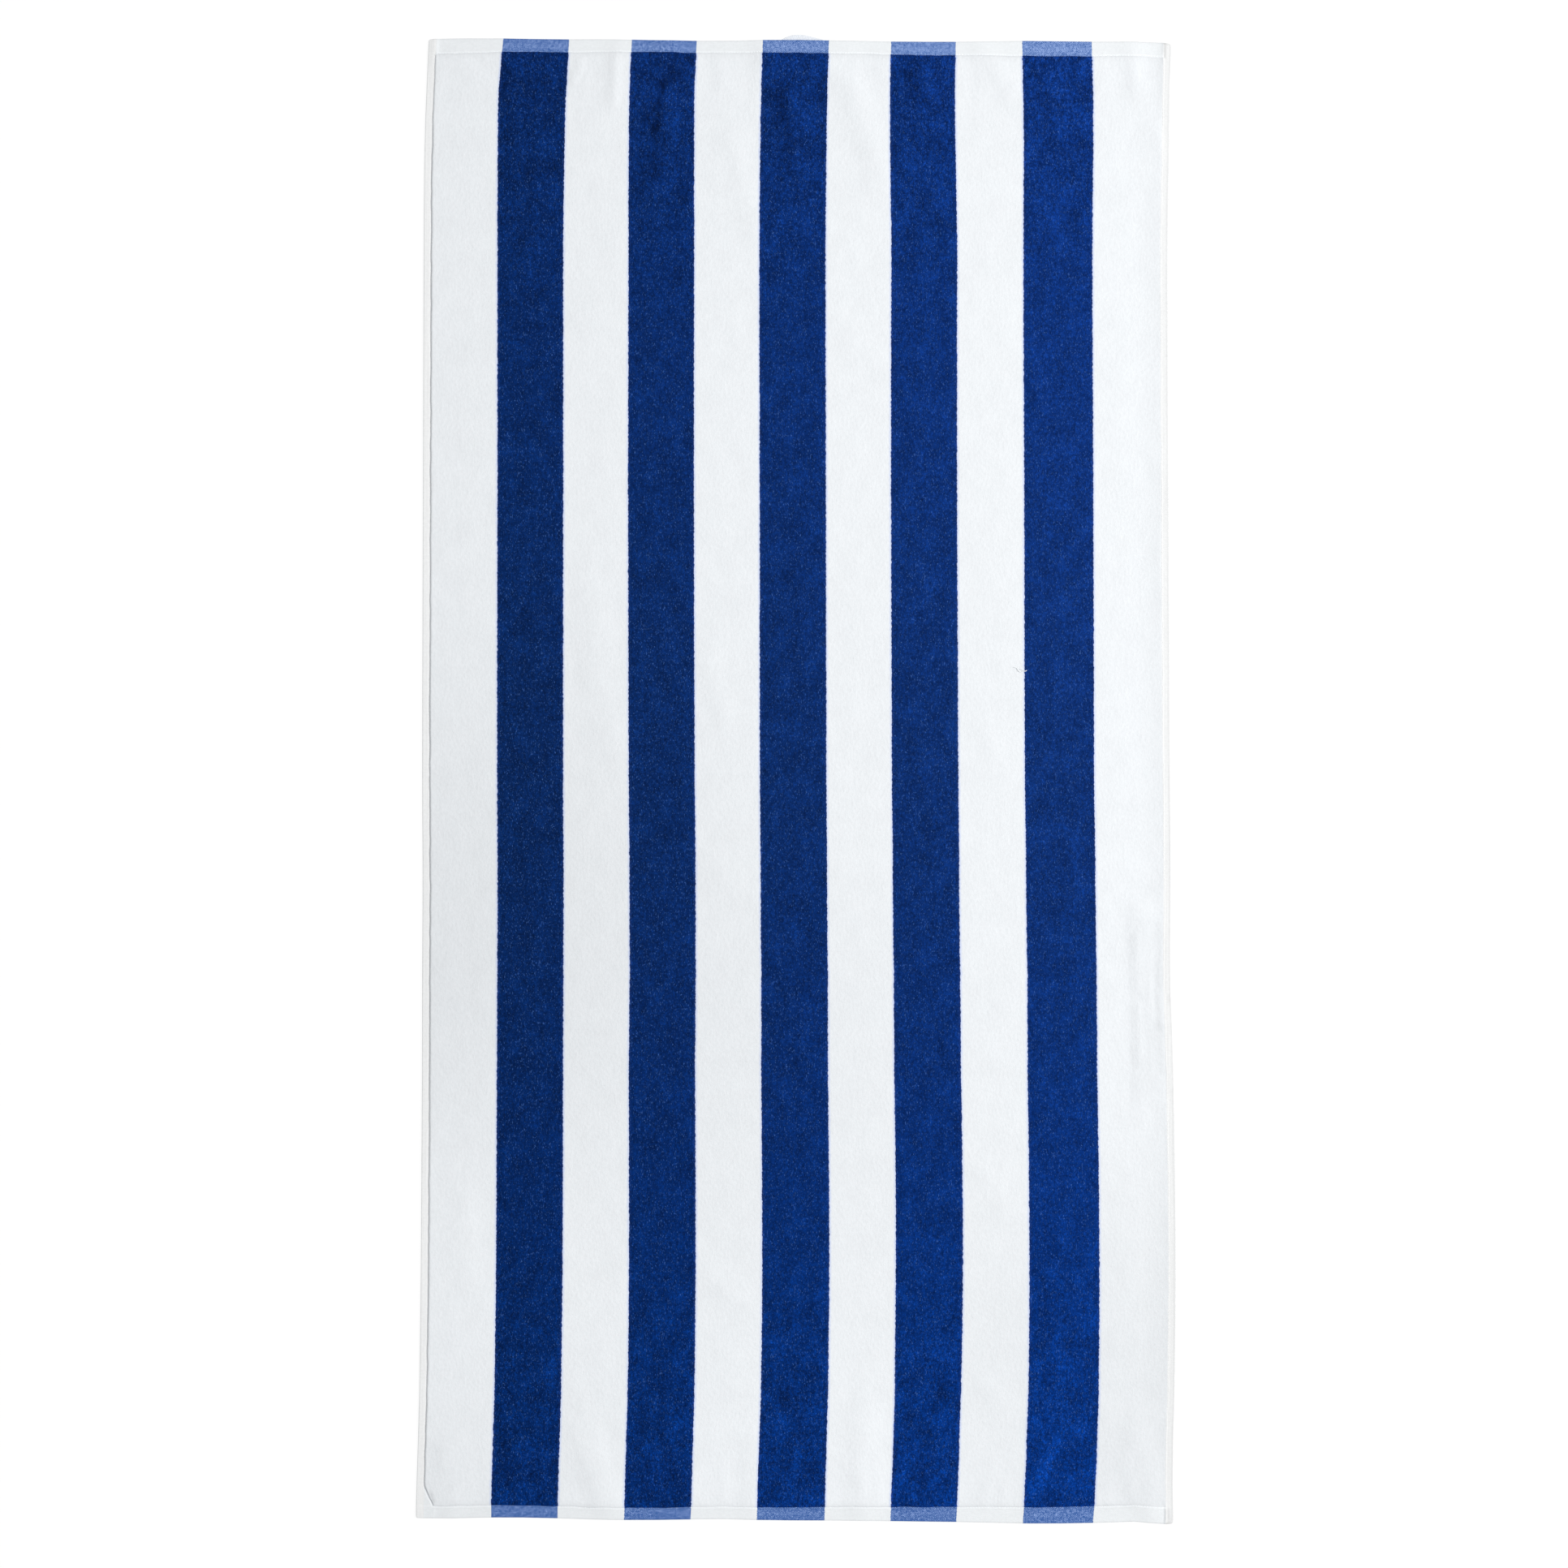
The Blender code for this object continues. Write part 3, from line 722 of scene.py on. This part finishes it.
# how far a stitch is raised on the face and on the back
STITCH_RAISE = (0.05, -0.02)


def build_pile_border(tree, material):
    """The loops that stand over the hems all along the border of the back's pile."""
    draw = random.Random(11)
    places = []
    for line in border_lines(-TUFT_INSET):
        x, y, turns = walk(line, TUFT_PITCH, TUFT_JITTER, draw)
        heights = height_at(tree, x, y, True) + TUFT_HEIGHT
        for a, b, z, turn in zip(x, y, heights, turns):
            sizes = [size * draw.uniform(*TUFT_SCALE) for size in TUFT_SIZES]
            shift = draw.uniform(-TUFT_SHIFT, TUFT_SHIFT)
            places.append(((a - math.sin(turn) * shift, b + math.cos(turn) * shift, z), turn, sizes, True))
    return scatter("pile_border", ball_template(8, 4), places, material)


def build_stitching(tree, material):
    """Lockstitches that hold the turned hems, on the face and on the back."""
    draw = random.Random(23)
    all_sizes = (SIDE_STITCH_SIZES, SIDE_STITCH_SIZES, END_STITCH_SIZES, END_STITCH_SIZES)
    rows = list(zip(border_lines(STITCH_OUT), all_sizes))
    places = []
    for back in (False, True):
        for line, sizes in rows:
            x, y, turns = walk(line, STITCH_PITCH, STITCH_JITTER, draw)
            heights = height_at(tree, x, y, back) + STITCH_RAISE[back]
            for spot, turn in zip(zip(x, y, heights), turns):
                places.append((spot, turn + draw.uniform(-STITCH_TURN, STITCH_TURN), sizes, back))
    return scatter("hem_stitching", ball_template(6, 5), places, material)


# ---- tape and thread

TAPE_ROUTE = (
    (-18.0, 739.3), (-13.0, 746.6), (-4.0, 751.0), (6.5, 751.5), (17.5, 749.2), (29.0, 745.6), (37.0, 739.3)
)
TAPE_WIDTH = 8.0
TAPE_THICKNESS = 0.9
TAPE_STEPS = 12
TAPE_RING = 20
# how square the tape's section is, across and up: 1 would be an ellipse
TAPE_POWERS = (0.35, 0.7)

# two strands of one thread: (x, y, height over the pile)
PULLED_THREADS = (
    (
        (220.4, 113.7, -0.3), (221.4, 113.6, 0.5), (223.6, 113.0, 0.7), (225.3, 111.2, 0.9),
        (226.5, 109.4, 0.9), (228.2, 108.7, 0.7), (229.9, 108.9, 0.8), (231.8, 109.3, 1.0),
        (233.3, 109.8, 0.9), (234.2, 110.3, 0.1),
    ),
    (
        (226.6, 111.9, -0.3), (227.7, 111.3, 0.5), (229.4, 110.9, 0.7), (231.0, 110.3, 0.6),
        (231.8, 110.0, -0.2),
    ),
)
THREAD_RADIUS = 0.38
# its unevenness: least share of the radius, gain, and turn from ring to ring
THREAD_SWELL = (0.85, 0.25, 1.9)
THREAD_STEPS = 6
THREAD_RING = 8


def smooth_path(points, steps):
    """A smooth line through the points: cubic pieces whose ends share their slopes."""
    points = np.array(points, float)
    lengths = np.linalg.norm(np.diff(points, axis=0), axis=1)
    slopes = np.gradient(points, np.concatenate(([0.0], np.cumsum(lengths))), axis=0)
    places = []
    for k, length in enumerate(lengths):
        for t in np.arange(steps) / steps:
            start = (2 * t**3 - 3 * t**2 + 1) * points[k] + (t**3 - 2 * t**2 + t) * length * slopes[k]
            end = (3 * t**2 - 2 * t**3) * points[k + 1] + (t**3 - t**2) * length * slopes[k + 1]
            places.append(start + end)
    return np.array([*places, points[-1]])


def directions(path):
    """Unit vectors along a path, one at each of its points."""
    ahead = np.gradient(path, axis=0)
    return ahead / np.linalg.norm(ahead, axis=1)[:, None]


def ring_angles(count):
    return 2 * math.pi * np.arange(count) / count


def swept(rings):
    """Faces over rings of equal length, with both ends closed."""
    at = np.arange(len(rings) * len(rings[0])).reshape(len(rings), -1)
    beside = np.roll(at, -1, axis=1)
    faces = np.stack((at[:-1], beside[:-1], beside[1:], at[1:]), axis=-1).reshape(-1, 4).tolist()
    return np.vstack(rings), [*faces, at[0, ::-1].tolist(), at[-1].tolist()]


def squared(values, power):
    """Values from -1 to 1 pushed outwards, which makes a section of them squarer."""
    return np.copysign(abs(values) ** power, values)


def build_loop(material):
    """The hanging loop's tape, lying flat under the hem."""
    route = smooth_path(TAPE_ROUTE, TAPE_STEPS)
    angles = ring_angles(TAPE_RING)
    across = 0.5 * TAPE_WIDTH * squared(np.cos(angles), TAPE_POWERS[0])
    up = 0.5 * TAPE_THICKNESS * (1 + squared(np.sin(angles), TAPE_POWERS[1]))
    rings = []
    for (x, y), (ahead_x, ahead_y) in zip(route, directions(route)):
        rings.append(np.column_stack((x + ahead_y * across, y - ahead_x * across, up)))
    points, faces = swept(rings)
    return new_piece("loop_tape", points, faces, [material])


def build_thread(tree, material):
    """The pulled thread that lies on the pile by the fifth stripe."""
    all_points, all_faces = [], []
    least, gain, turn = THREAD_SWELL
    cosines, sines = (f(ring_angles(THREAD_RING))[:, None] for f in (np.cos, np.sin))
    for strand in PULLED_THREADS:
        path = smooth_path(strand, THREAD_STEPS)
        path[:, 2] += height_at(tree, path[:, 0], path[:, 1], False)
        rings = []
        for k, (spot, forward) in enumerate(zip(path, directions(path))):
            side = np.cross(forward, (0.0, 0.0, 1.0))
            side /= np.linalg.norm(side)
            radius = THREAD_RADIUS * (least + gain * math.sin(k * turn))
            rings.append(spot + radius * (cosines * side + sines * np.cross(side, forward)))
        points, faces = swept(rings)
        start = sum(len(block) for block in all_points)
        all_points.append(points)
        all_faces += [[start + index for index in face] for face in faces]
    return new_piece("loose_thread", np.vstack(all_points), all_faces, [material])


# ---- materials

SPECULAR = 0.05
SHEEN_ROUGHNESS = 0.3


def set_inputs(node, **values):
    """Sets sockets by their names, written with underscores for the blanks."""
    for name, value in values.items():
        node.inputs[name.replace("_", " ")].default_value = value


class Look:
    """A material's nodes, with a short call for each kind that is used here."""

    def __init__(self, name):
        self.material = bpy.data.materials.new(name)
        self.material.use_nodes = True
        self.nodes = self.material.node_tree.nodes
        self.links = self.material.node_tree.links
        self.surface = self.nodes["Principled BSDF"]
        place = self.nodes.new("ShaderNodeTexCoord")
        self.place = self.vector("SCALE", place.outputs["Object"], scale=1 / MM)
        share = self.nodes.new("ShaderNodeUVMap")
        share.uv_map = "cloth"
        self.shares = self.split(share.outputs["UV"])

    def split(self, vector):
        node = self.nodes.new("ShaderNodeSeparateXYZ")
        self.links.new(vector, node.inputs[0])
        return node.outputs["X"], node.outputs["Y"]

    def put(self, socket, value):
        if isinstance(value, bpy.types.NodeSocket):
            self.links.new(value, socket)
        else:
            socket.default_value = value

    def math(self, operation, *values, clamp=False):
        node = self.nodes.new("ShaderNodeMath")
        node.operation = operation
        node.use_clamp = clamp
        for socket, value in zip(node.inputs, values):
            self.put(socket, value)
        return node.outputs[0]

    def times(self, first, second):
        return self.math("MULTIPLY", first, second)

    def plus(self, first, second):
        return self.math("ADD", first, second)

    def scaled(self, colour, factor):
        return self.vector("SCALE", colour, scale=factor)

    def vector(self, operation, *values, scale=None):
        node = self.nodes.new("ShaderNodeVectorMath")
        node.operation = operation
        for socket, value in zip(node.inputs, values):
            self.put(socket, value)
        if scale is not None:
            self.put(node.inputs["Scale"], scale)
        return node.outputs["Value" if operation == "DISTANCE" else "Vector"]

    def noise(self, sizes, detail=0.0, shift=0.0):
        """Noise from about -1 to 1 whose bumps are about sizes mm across, in x, y and z."""
        place = self.vector("DIVIDE", self.place, sizes)
        if shift:
            place = self.vector("ADD", place, (shift, shift, shift))
        node = self.nodes.new("ShaderNodeTexNoise")
        set_inputs(node, Scale=1.0, Detail=detail)
        self.links.new(place, node.inputs["Vector"])
        return self.math("MULTIPLY_ADD", node.outputs["Fac"], 4.0, -2.0)

    def smooth(self, value, low, high):
        """0 where value is below low, 1 above high, smooth between."""
        node = self.nodes.new("ShaderNodeMapRange")
        node.interpolation_type = "SMOOTHSTEP"
        for socket, number in zip(node.inputs[1:5], (low, high, 0.0, 1.0)):
            self.put(socket, number)
        self.put(node.inputs["Value"], value)
        return node.outputs["Result"]

    def mix(self, factor, first, second):
        node = self.nodes.new("ShaderNodeMix")
        node.data_type = "RGBA"
        self.put(node.inputs["Factor"], factor)
        self.put(node.inputs[6], first)
        self.put(node.inputs[7], second)
        return node.outputs[2]

    def attribute(self, name):
        """A number kept on the mesh's points, in mm."""
        node = self.nodes.new("ShaderNodeAttribute")
        node.attribute_name = name
        return node.outputs["Fac"]

    def ramp(self, value, stops):
        """A colour that passes smoothly through the stops, rows of (place, colour)."""
        node = self.nodes.new("ShaderNodeValToRGB")
        band = node.color_ramp
        band.interpolation = "CARDINAL"
        band.elements.remove(band.elements[1])
        band.elements[0].position = stops[0][0]
        band.elements[0].color = (*stops[0][1], 1)
        for place, colour in stops[1:]:
            band.elements.new(place).color = (*colour, 1)
        self.put(node.inputs["Fac"], value)
        return node.outputs["Color"]

    def total(self, *terms):
        """Sum of weight times value over (weight, value) pairs."""
        result = 0.0
        for weight, value in terms:
            result = self.math("MULTIPLY_ADD", value, weight, result)
        return result

    def bump(self, height, distance, strength=1.0):
        node = self.nodes.new("ShaderNodeBump")
        set_inputs(node, Distance=distance * MM)
        self.put(node.inputs["Strength"], strength)
        self.links.new(height, node.inputs["Height"])
        self.links.new(node.outputs["Normal"], self.surface.inputs["Normal"])

    def finish(self, colour, roughness, sheen):
        self.put(self.surface.inputs["Base Color"], colour)
        set_inputs(self.surface, Roughness=roughness, Specular_IOR_Level=SPECULAR)
        set_inputs(self.surface, Sheen_Weight=sheen, Sheen_Roughness=SHEEN_ROUGHNESS)
        return self.material


def stripe_distance(look, loss):
    """mm out of the nearest blue stripe, below 0 inside; loss makes the stripes narrower."""
    nearest = None
    for low, high in BLUE_STRIPES:
        away = look.math("ABSOLUTE", look.math("SUBTRACT", look.shares[0], 0.5 * (low + high)))
        out = look.math("SUBTRACT", away, 0.5 * (high - low) - loss / WIDTH)
        nearest = out if nearest is None else look.math("MINIMUM", nearest, out)
    return look.times(nearest, WIDTH)


WHITE = (0.755, 0.778, 0.806, 1)
WHITE_BY_BLUE = (0.535, 0.605, 0.822, 1)
# the blue runs between these from left to right: painted light, lighter towards the lamp's side
BLUE_IN_PAINTED_SHADE = (0.0013, 0.0185, 0.103, 1)
BLUE_IN_PAINTED_LIGHT = (0.0031, 0.0307, 0.190, 1)
BLUE_FIBRE = (0.060, 0.150, 0.430, 1)
BLUE_EDGE = (0.014, 0.034, 0.150, 1)
# (share of the length from the bottom, tint): the blue isn't quite even
BLUE_ALONG = (
    (0.05, (0.23, 0.87, 0.96)), (0.26, (0.53, 0.80, 0.85)), (0.50, (0.96, 0.80, 0.77)),
    (0.75, (0.96, 0.87, 0.89)), (0.97, (0.76, 0.81, 0.85)),
)
# (x, y, reach, change): painted broad soft shade and light on the white
WHITE_PAINTED_SHADING = (
    (-330, -150, 420, -0.068), (20, -260, 260, -0.020), (370, -590, 330, -0.060),
    (-330, -480, 290, 0.034), (-20, -740, 320, 0.045), (-20, 420, 420, 0.012),
)
# livelier near the ends: start and full, as shares of the length from the middle, and the gain
LIVELY_ENDS = (0.27, 0.47, 0.45)


def painted_white_shading(look):
    """Painted soft light and shade over the white, round 1."""
    total = 1.0
    for x, y, reach, change in WHITE_PAINTED_SHADING:
        away = look.vector("DISTANCE", look.place, (x, y, 0.0))
        total = look.math("MULTIPLY_ADD", look.smooth(away, reach, 0.0), change, total)
    return total


def pile_material(name, grain, tuft, streak, patch, relief):
    """Cotton pile in the stripes' colours: grain, tufts, streaks along the warp and soft patches, with
    painted light and shade across the blue, over the white, along the creases and beside the seams.
    """
    look = Look(name)
    across, along = look.shares
    fine = look.noise((0.95, 1.6, 0.95), 1.0)
    tufts = look.noise((2.9, 3.6, 2.9), 1.0, 7.3)
    streaks = look.noise((2.0, 7.5, 4.0), 1.0, 3.1)
    patches = look.noise((17.0, 26.0, 17.0), 2.0, 5.7)
    serration = look.total((0.3, look.noise((2.2, 2.8, 2.2), 0.0, 9.1)), (0.14, fine))
    distance = look.plus(stripe_distance(look, 0.0), serration)
    in_blue = look.smooth(distance, 0.3, -0.3)
    from_middle = look.math("ABSOLUTE", look.math("SUBTRACT", along, 0.5))
    start, full, gain = LIVELY_ENDS
    lively = look.math("MULTIPLY_ADD", look.smooth(from_middle, start, full), gain, 1.0)
    tone = look.total((grain, fine), (tuft, tufts), (streak, streaks), (patch, patches))
    tone = look.math("POWER", math.e, look.times(tone, lively))
    # painted light across the width: the blue lighter towards the right
    blue = look.mix(across, BLUE_IN_PAINTED_SHADE, BLUE_IN_PAINTED_LIGHT)
    blue = look.vector("MULTIPLY", blue, look.ramp(along, BLUE_ALONG))
    near_edge = look.smooth(distance, -3.0, -0.4)
    blue = look.mix(look.times(near_edge, 0.4), blue, BLUE_EDGE)
    blue = look.scaled(blue, tone)
    fibres = look.smooth(look.noise((0.8, 2.1, 1.0), 1.0, 21.7), 0.42, 1.1)
    blue = look.mix(look.times(fibres, 0.6), blue, BLUE_FIBRE)
    # painted shade and highlight along the creases, on the blue and a little on the white
    painted_crease_shade = look.attribute("painted_crease_shade")
    blue = look.scaled(blue, look.plus(painted_crease_shade, 1.0))
    halo = look.smooth(distance, 2.8, -0.2)
    white = look.mix(halo, WHITE, WHITE_BY_BLUE)
    calm = look.total((0.015, fine), (0.02, tufts), (0.005, streaks), (0.018, patches))
    calm = look.plus(look.math("MULTIPLY_ADD", painted_crease_shade, PAINTED_SHADE_ON_WHITE, calm), 1.0)
    white = look.scaled(white, look.times(calm, painted_white_shading(look)))
    colour = look.mix(in_blue, white, blue)
    # painted shade: darker in the grooves beside all seams, where the pile is also pressed, over wider bands
    # by the top and bottom seams, and near the right edge; less by the right seams, which face the lamp
    into_pile = look.attribute("into_pile")
    pressed = look.smooth(into_pile, 2.4, 0.3)
    by_seam = look.smooth(into_pile, 8.0, 0.0)
    low = look.times(by_seam, look.smooth(along, 0.06, 0.03))
    high = look.times(by_seam, look.smooth(along, 0.94, 0.97))
    by_side = look.smooth(look.attribute("from_side"), 38.0, 9.0)
    right = look.times(by_side, look.smooth(across, 0.3, 0.7))
    by_right = look.times(pressed, right)
    shade = look.total((-0.03, pressed), (0.024, by_right), (-0.02, low), (-0.03, high), (-0.045, right))
    colour = look.scaled(colour, look.plus(shade, 1.0))
    height = look.total((0.6, tufts), (0.25, fine), (0.2, streaks), (0.5, patches))
    look.bump(height, relief, look.math("MULTIPLY_ADD", in_blue, 0.4, 0.6))
    return look.finish(colour, 0.95, 0.06)


WEAVE_CELL = 0.9
HEM_WHITE = (0.757, 0.780, 0.802, 1)
SIDE_HEM_WHITE = (0.777, 0.782, 0.788, 1)
HEM_BLUE = (0.034, 0.100, 0.322, 1)
HEM_BLUE_LIGHT = (0.30, 0.42, 0.74, 1)
# share of light thread in the blue: at the bottom left, gain to the right, to the top, and to both
HEM_LIGHT = (0.085, 0.08, 0.13, 0.16)
HEM_CONTRAST = 0.36


def hem_material():
    """Flat weave of the hems: white weft over white or blue warp ends, with painted shade along the outer
    folds and edges, on the right side hem and along the creases.
    """
    look = Look("hem_weave")
    share_x, share_y = look.shares
    fine = look.noise((0.85, 0.75, 0.8), 0.0)
    slubs = look.noise((3.4, 1.2, 3.0), 1.0, 4.1)
    ends = look.noise((1.2, 4.2, 3.0), 1.0, 8.3)
    across, along = look.split(look.scaled(look.place, math.pi / WEAVE_CELL))
    weave = look.times(look.math("SINE", across), look.math("SINE", along))
    distance = look.math("MULTIPLY_ADD", fine, 0.25, stripe_distance(look, HEM_STRIPE_LOSS))
    in_blue = look.smooth(distance, 0.3, -0.3)
    least, to_right, to_top, to_both = HEM_LIGHT
    both = look.times(share_x, share_y)
    base = look.plus(look.total((to_right, share_x), (to_top, share_y), (to_both, both)), least)
    from_edge = look.attribute("from_edge")
    # painted shade of the rounded outer fold; it darkens the blue and, as the rim, the white
    fold = look.smooth(from_edge, 2.0, 0.3)
    crown = look.times(look.smooth(from_edge, 5.0, 7.5), look.smooth(from_edge, 11.0, 9.0))
    light = look.total((1.6, weave), (1.1, fine), (0.7, slubs), (0.7, ends), (-0.5, fold), (0.25, crown))
    light = look.math("MULTIPLY_ADD", light, HEM_CONTRAST, base, clamp=True)
    blue = look.mix(light, HEM_BLUE, HEM_BLUE_LIGHT)
    into_pile = look.attribute("into_pile")
    seam = look.times(look.smooth(into_pile, -2.2, -1.4), look.smooth(into_pile, 0.0, -0.4))
    seam = look.times(seam, look.smooth(share_x, 0.011, 0.016))
    from_side = look.attribute("from_side")
    rim = look.times(fold, look.smooth(from_side, 2.0, 9.0))
    at_side = look.smooth(from_side, 9.0, 7.0)
    ribs = look.times(look.noise((0.8, 60.0, 60.0), 0.0, 13.9), at_side)
    right = look.times(look.smooth(share_x, 0.3, 0.7), at_side)
    calm = look.total((0.016, weave), (0.026, slubs), (0.024, ends), (0.025, ribs))
    # painted shade along the creases and at the hem corners
    painted_crease_shade = look.times(look.attribute("painted_crease_shade"), PAINTED_SHADE_ON_WHITE)
    # painted shade: darker along the rim of the end hems, on the right side hem, and most at its outer edge,
    # which faces the lamp
    outer = look.times(look.smooth(from_edge, 3.0, 1.0), right)
    calm = look.plus(calm, look.total((0.07, seam), (-0.07, rim), (-0.02, right), (-0.1, outer)))
    calm = look.plus(calm, painted_crease_shade)
    # half of the white's painted soft shading
    shade = look.math("MULTIPLY_ADD", painted_white_shading(look), 0.5, 0.5)
    calm = look.times(look.plus(calm, 1.0), shade)
    white = look.scaled(look.mix(at_side, HEM_WHITE, SIDE_HEM_WHITE), calm)
    colour = look.mix(in_blue, white, blue)
    look.bump(look.total((0.5, weave), (0.4, slubs)), 0.08)
    return look.finish(colour, 0.85, 0.08)


TAPE_WHITE = (0.78, 0.81, 0.86)
YARN_WHITE = (0.86, 0.88, 0.90)
# size of the fibres; sizes, shift and shade of the ribs; fibres in the relief, its depth; roughness
TAPE_COTTON = (0.4, (0.5, 2.4, 0.6), 6.4, 0.03, 0.3, 0.12, 0.85)
YARN_COTTON = (0.25, (0.9, 0.9, 0.9), 2.2, 0.02, 0.4, 0.06, 0.8)


def cotton_material(name, white, fibre, ribs, shift, rib_shade, fibre_relief, relief, roughness):
    """White cotton with fine fibres and with a tape's ribs or a yarn's turns."""
    look = Look(name)
    fibres = look.noise((fibre, fibre, fibre), 2.0)
    ribs = look.noise(ribs, 0.0, shift)
    tone = look.plus(look.total((0.02, fibres), (rib_shade, ribs)), 1.0)
    look.bump(look.total((fibre_relief, fibres), (0.6, ribs)), relief)
    return look.finish(look.scaled(white, tone), roughness, 0.1)


# ---- the set

FRAME_WIDTH = 1591.0
FRAME_CENTRE = (-11.94, -4.94)
LENS = 85.0
SENSOR = 36.0
FLOOR_SIZE = 30.0
FLOOR_DROP = 0.3
FLOOR_COLOUR = (0.12, 0.12, 0.12, 1)
FLOOR_GLOW = 0.89
KEY_PLACE = (3.1, 0.45, 3.2)
KEY_SIZE = (1.8, 2.8)
KEY_POWER = 158.0
KEY_COLOUR = (1.0, 0.992, 0.975)
FILL_STRENGTH = 0.625
FILL_COLOUR = (0.985, 0.995, 1.0, 1)


def build_floor():
    """The lit white table that the towel lies on."""
    half = 0.5 * FLOOR_SIZE
    mesh = bpy.data.meshes.new("floor")
    corners = [(-half, -half), (half, -half), (half, half), (-half, half)]
    mesh.from_pydata([(x, y, -FLOOR_DROP * MM) for x, y in corners], [], [(0, 1, 2, 3)])
    material = bpy.data.materials.new("floor_paint")
    material.use_nodes = True
    surface = material.node_tree.nodes["Principled BSDF"]
    set_inputs(surface, Base_Color=FLOOR_COLOUR, Roughness=1.0, Specular_IOR_Level=0.0)
    set_inputs(surface, Emission_Color=(1, 1, 1, 1), Emission_Strength=FLOOR_GLOW)
    mesh.materials.append(material)
    return new_object("floor", mesh)


def build_light():
    """One broad soft lamp from the upper right, and an even fill all round."""
    world = bpy.data.worlds.new("fill")
    world.use_nodes = True
    set_inputs(world.node_tree.nodes["Background"], Color=FILL_COLOUR, Strength=FILL_STRENGTH)
    bpy.context.scene.world = world
    lamp = bpy.data.lights.new("key", "AREA")
    lamp.shape = "RECTANGLE"
    lamp.size, lamp.size_y = KEY_SIZE
    lamp.energy = KEY_POWER
    lamp.color = KEY_COLOUR
    key = new_object("key", lamp)
    key.location = KEY_PLACE
    key.rotation_euler = (-Vector(KEY_PLACE)).to_track_quat("-Z", "Y").to_euler()


def build_camera():
    """Straight above the towel, as the photograph was taken."""
    data = bpy.data.cameras.new("camera")
    data.lens = LENS
    data.sensor_width = SENSOR
    camera = new_object("camera", data)
    distance = FRAME_WIDTH * LENS / SENSOR + PILE_THICKNESS
    camera.location = (FRAME_CENTRE[0] * MM, FRAME_CENTRE[1] * MM, distance * MM)
    bpy.context.scene.camera = camera


def main():
    face_pile = pile_material("velour_pile", grain=0.38, tuft=0.29, streak=0.16, patch=0.25, relief=0.2)
    back_pile = pile_material("terry_pile", grain=0.20, tuft=0.40, streak=0.08, patch=0.10, relief=0.6)
    hem = hem_material()
    towel = build_towel([face_pile, back_pile, hem])
    tree = mesh_tree(towel.data)
    border = build_pile_border(tree, back_pile)
    stitching = build_stitching(tree, hem)
    loop = build_loop(cotton_material("tape_weave", TAPE_WHITE, *TAPE_COTTON))
    thread = build_thread(tree, cotton_material("loose_yarn", YARN_WHITE, *YARN_COTTON))
    for piece in (towel, border, stitching, loop, thread):
        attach(piece, "root")
    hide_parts("towel_cloth")
    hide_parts("hanging_loop")
    build_floor()
    build_light()
    build_camera()
    bpy.context.scene.view_settings.view_transform = "Standard"


main()
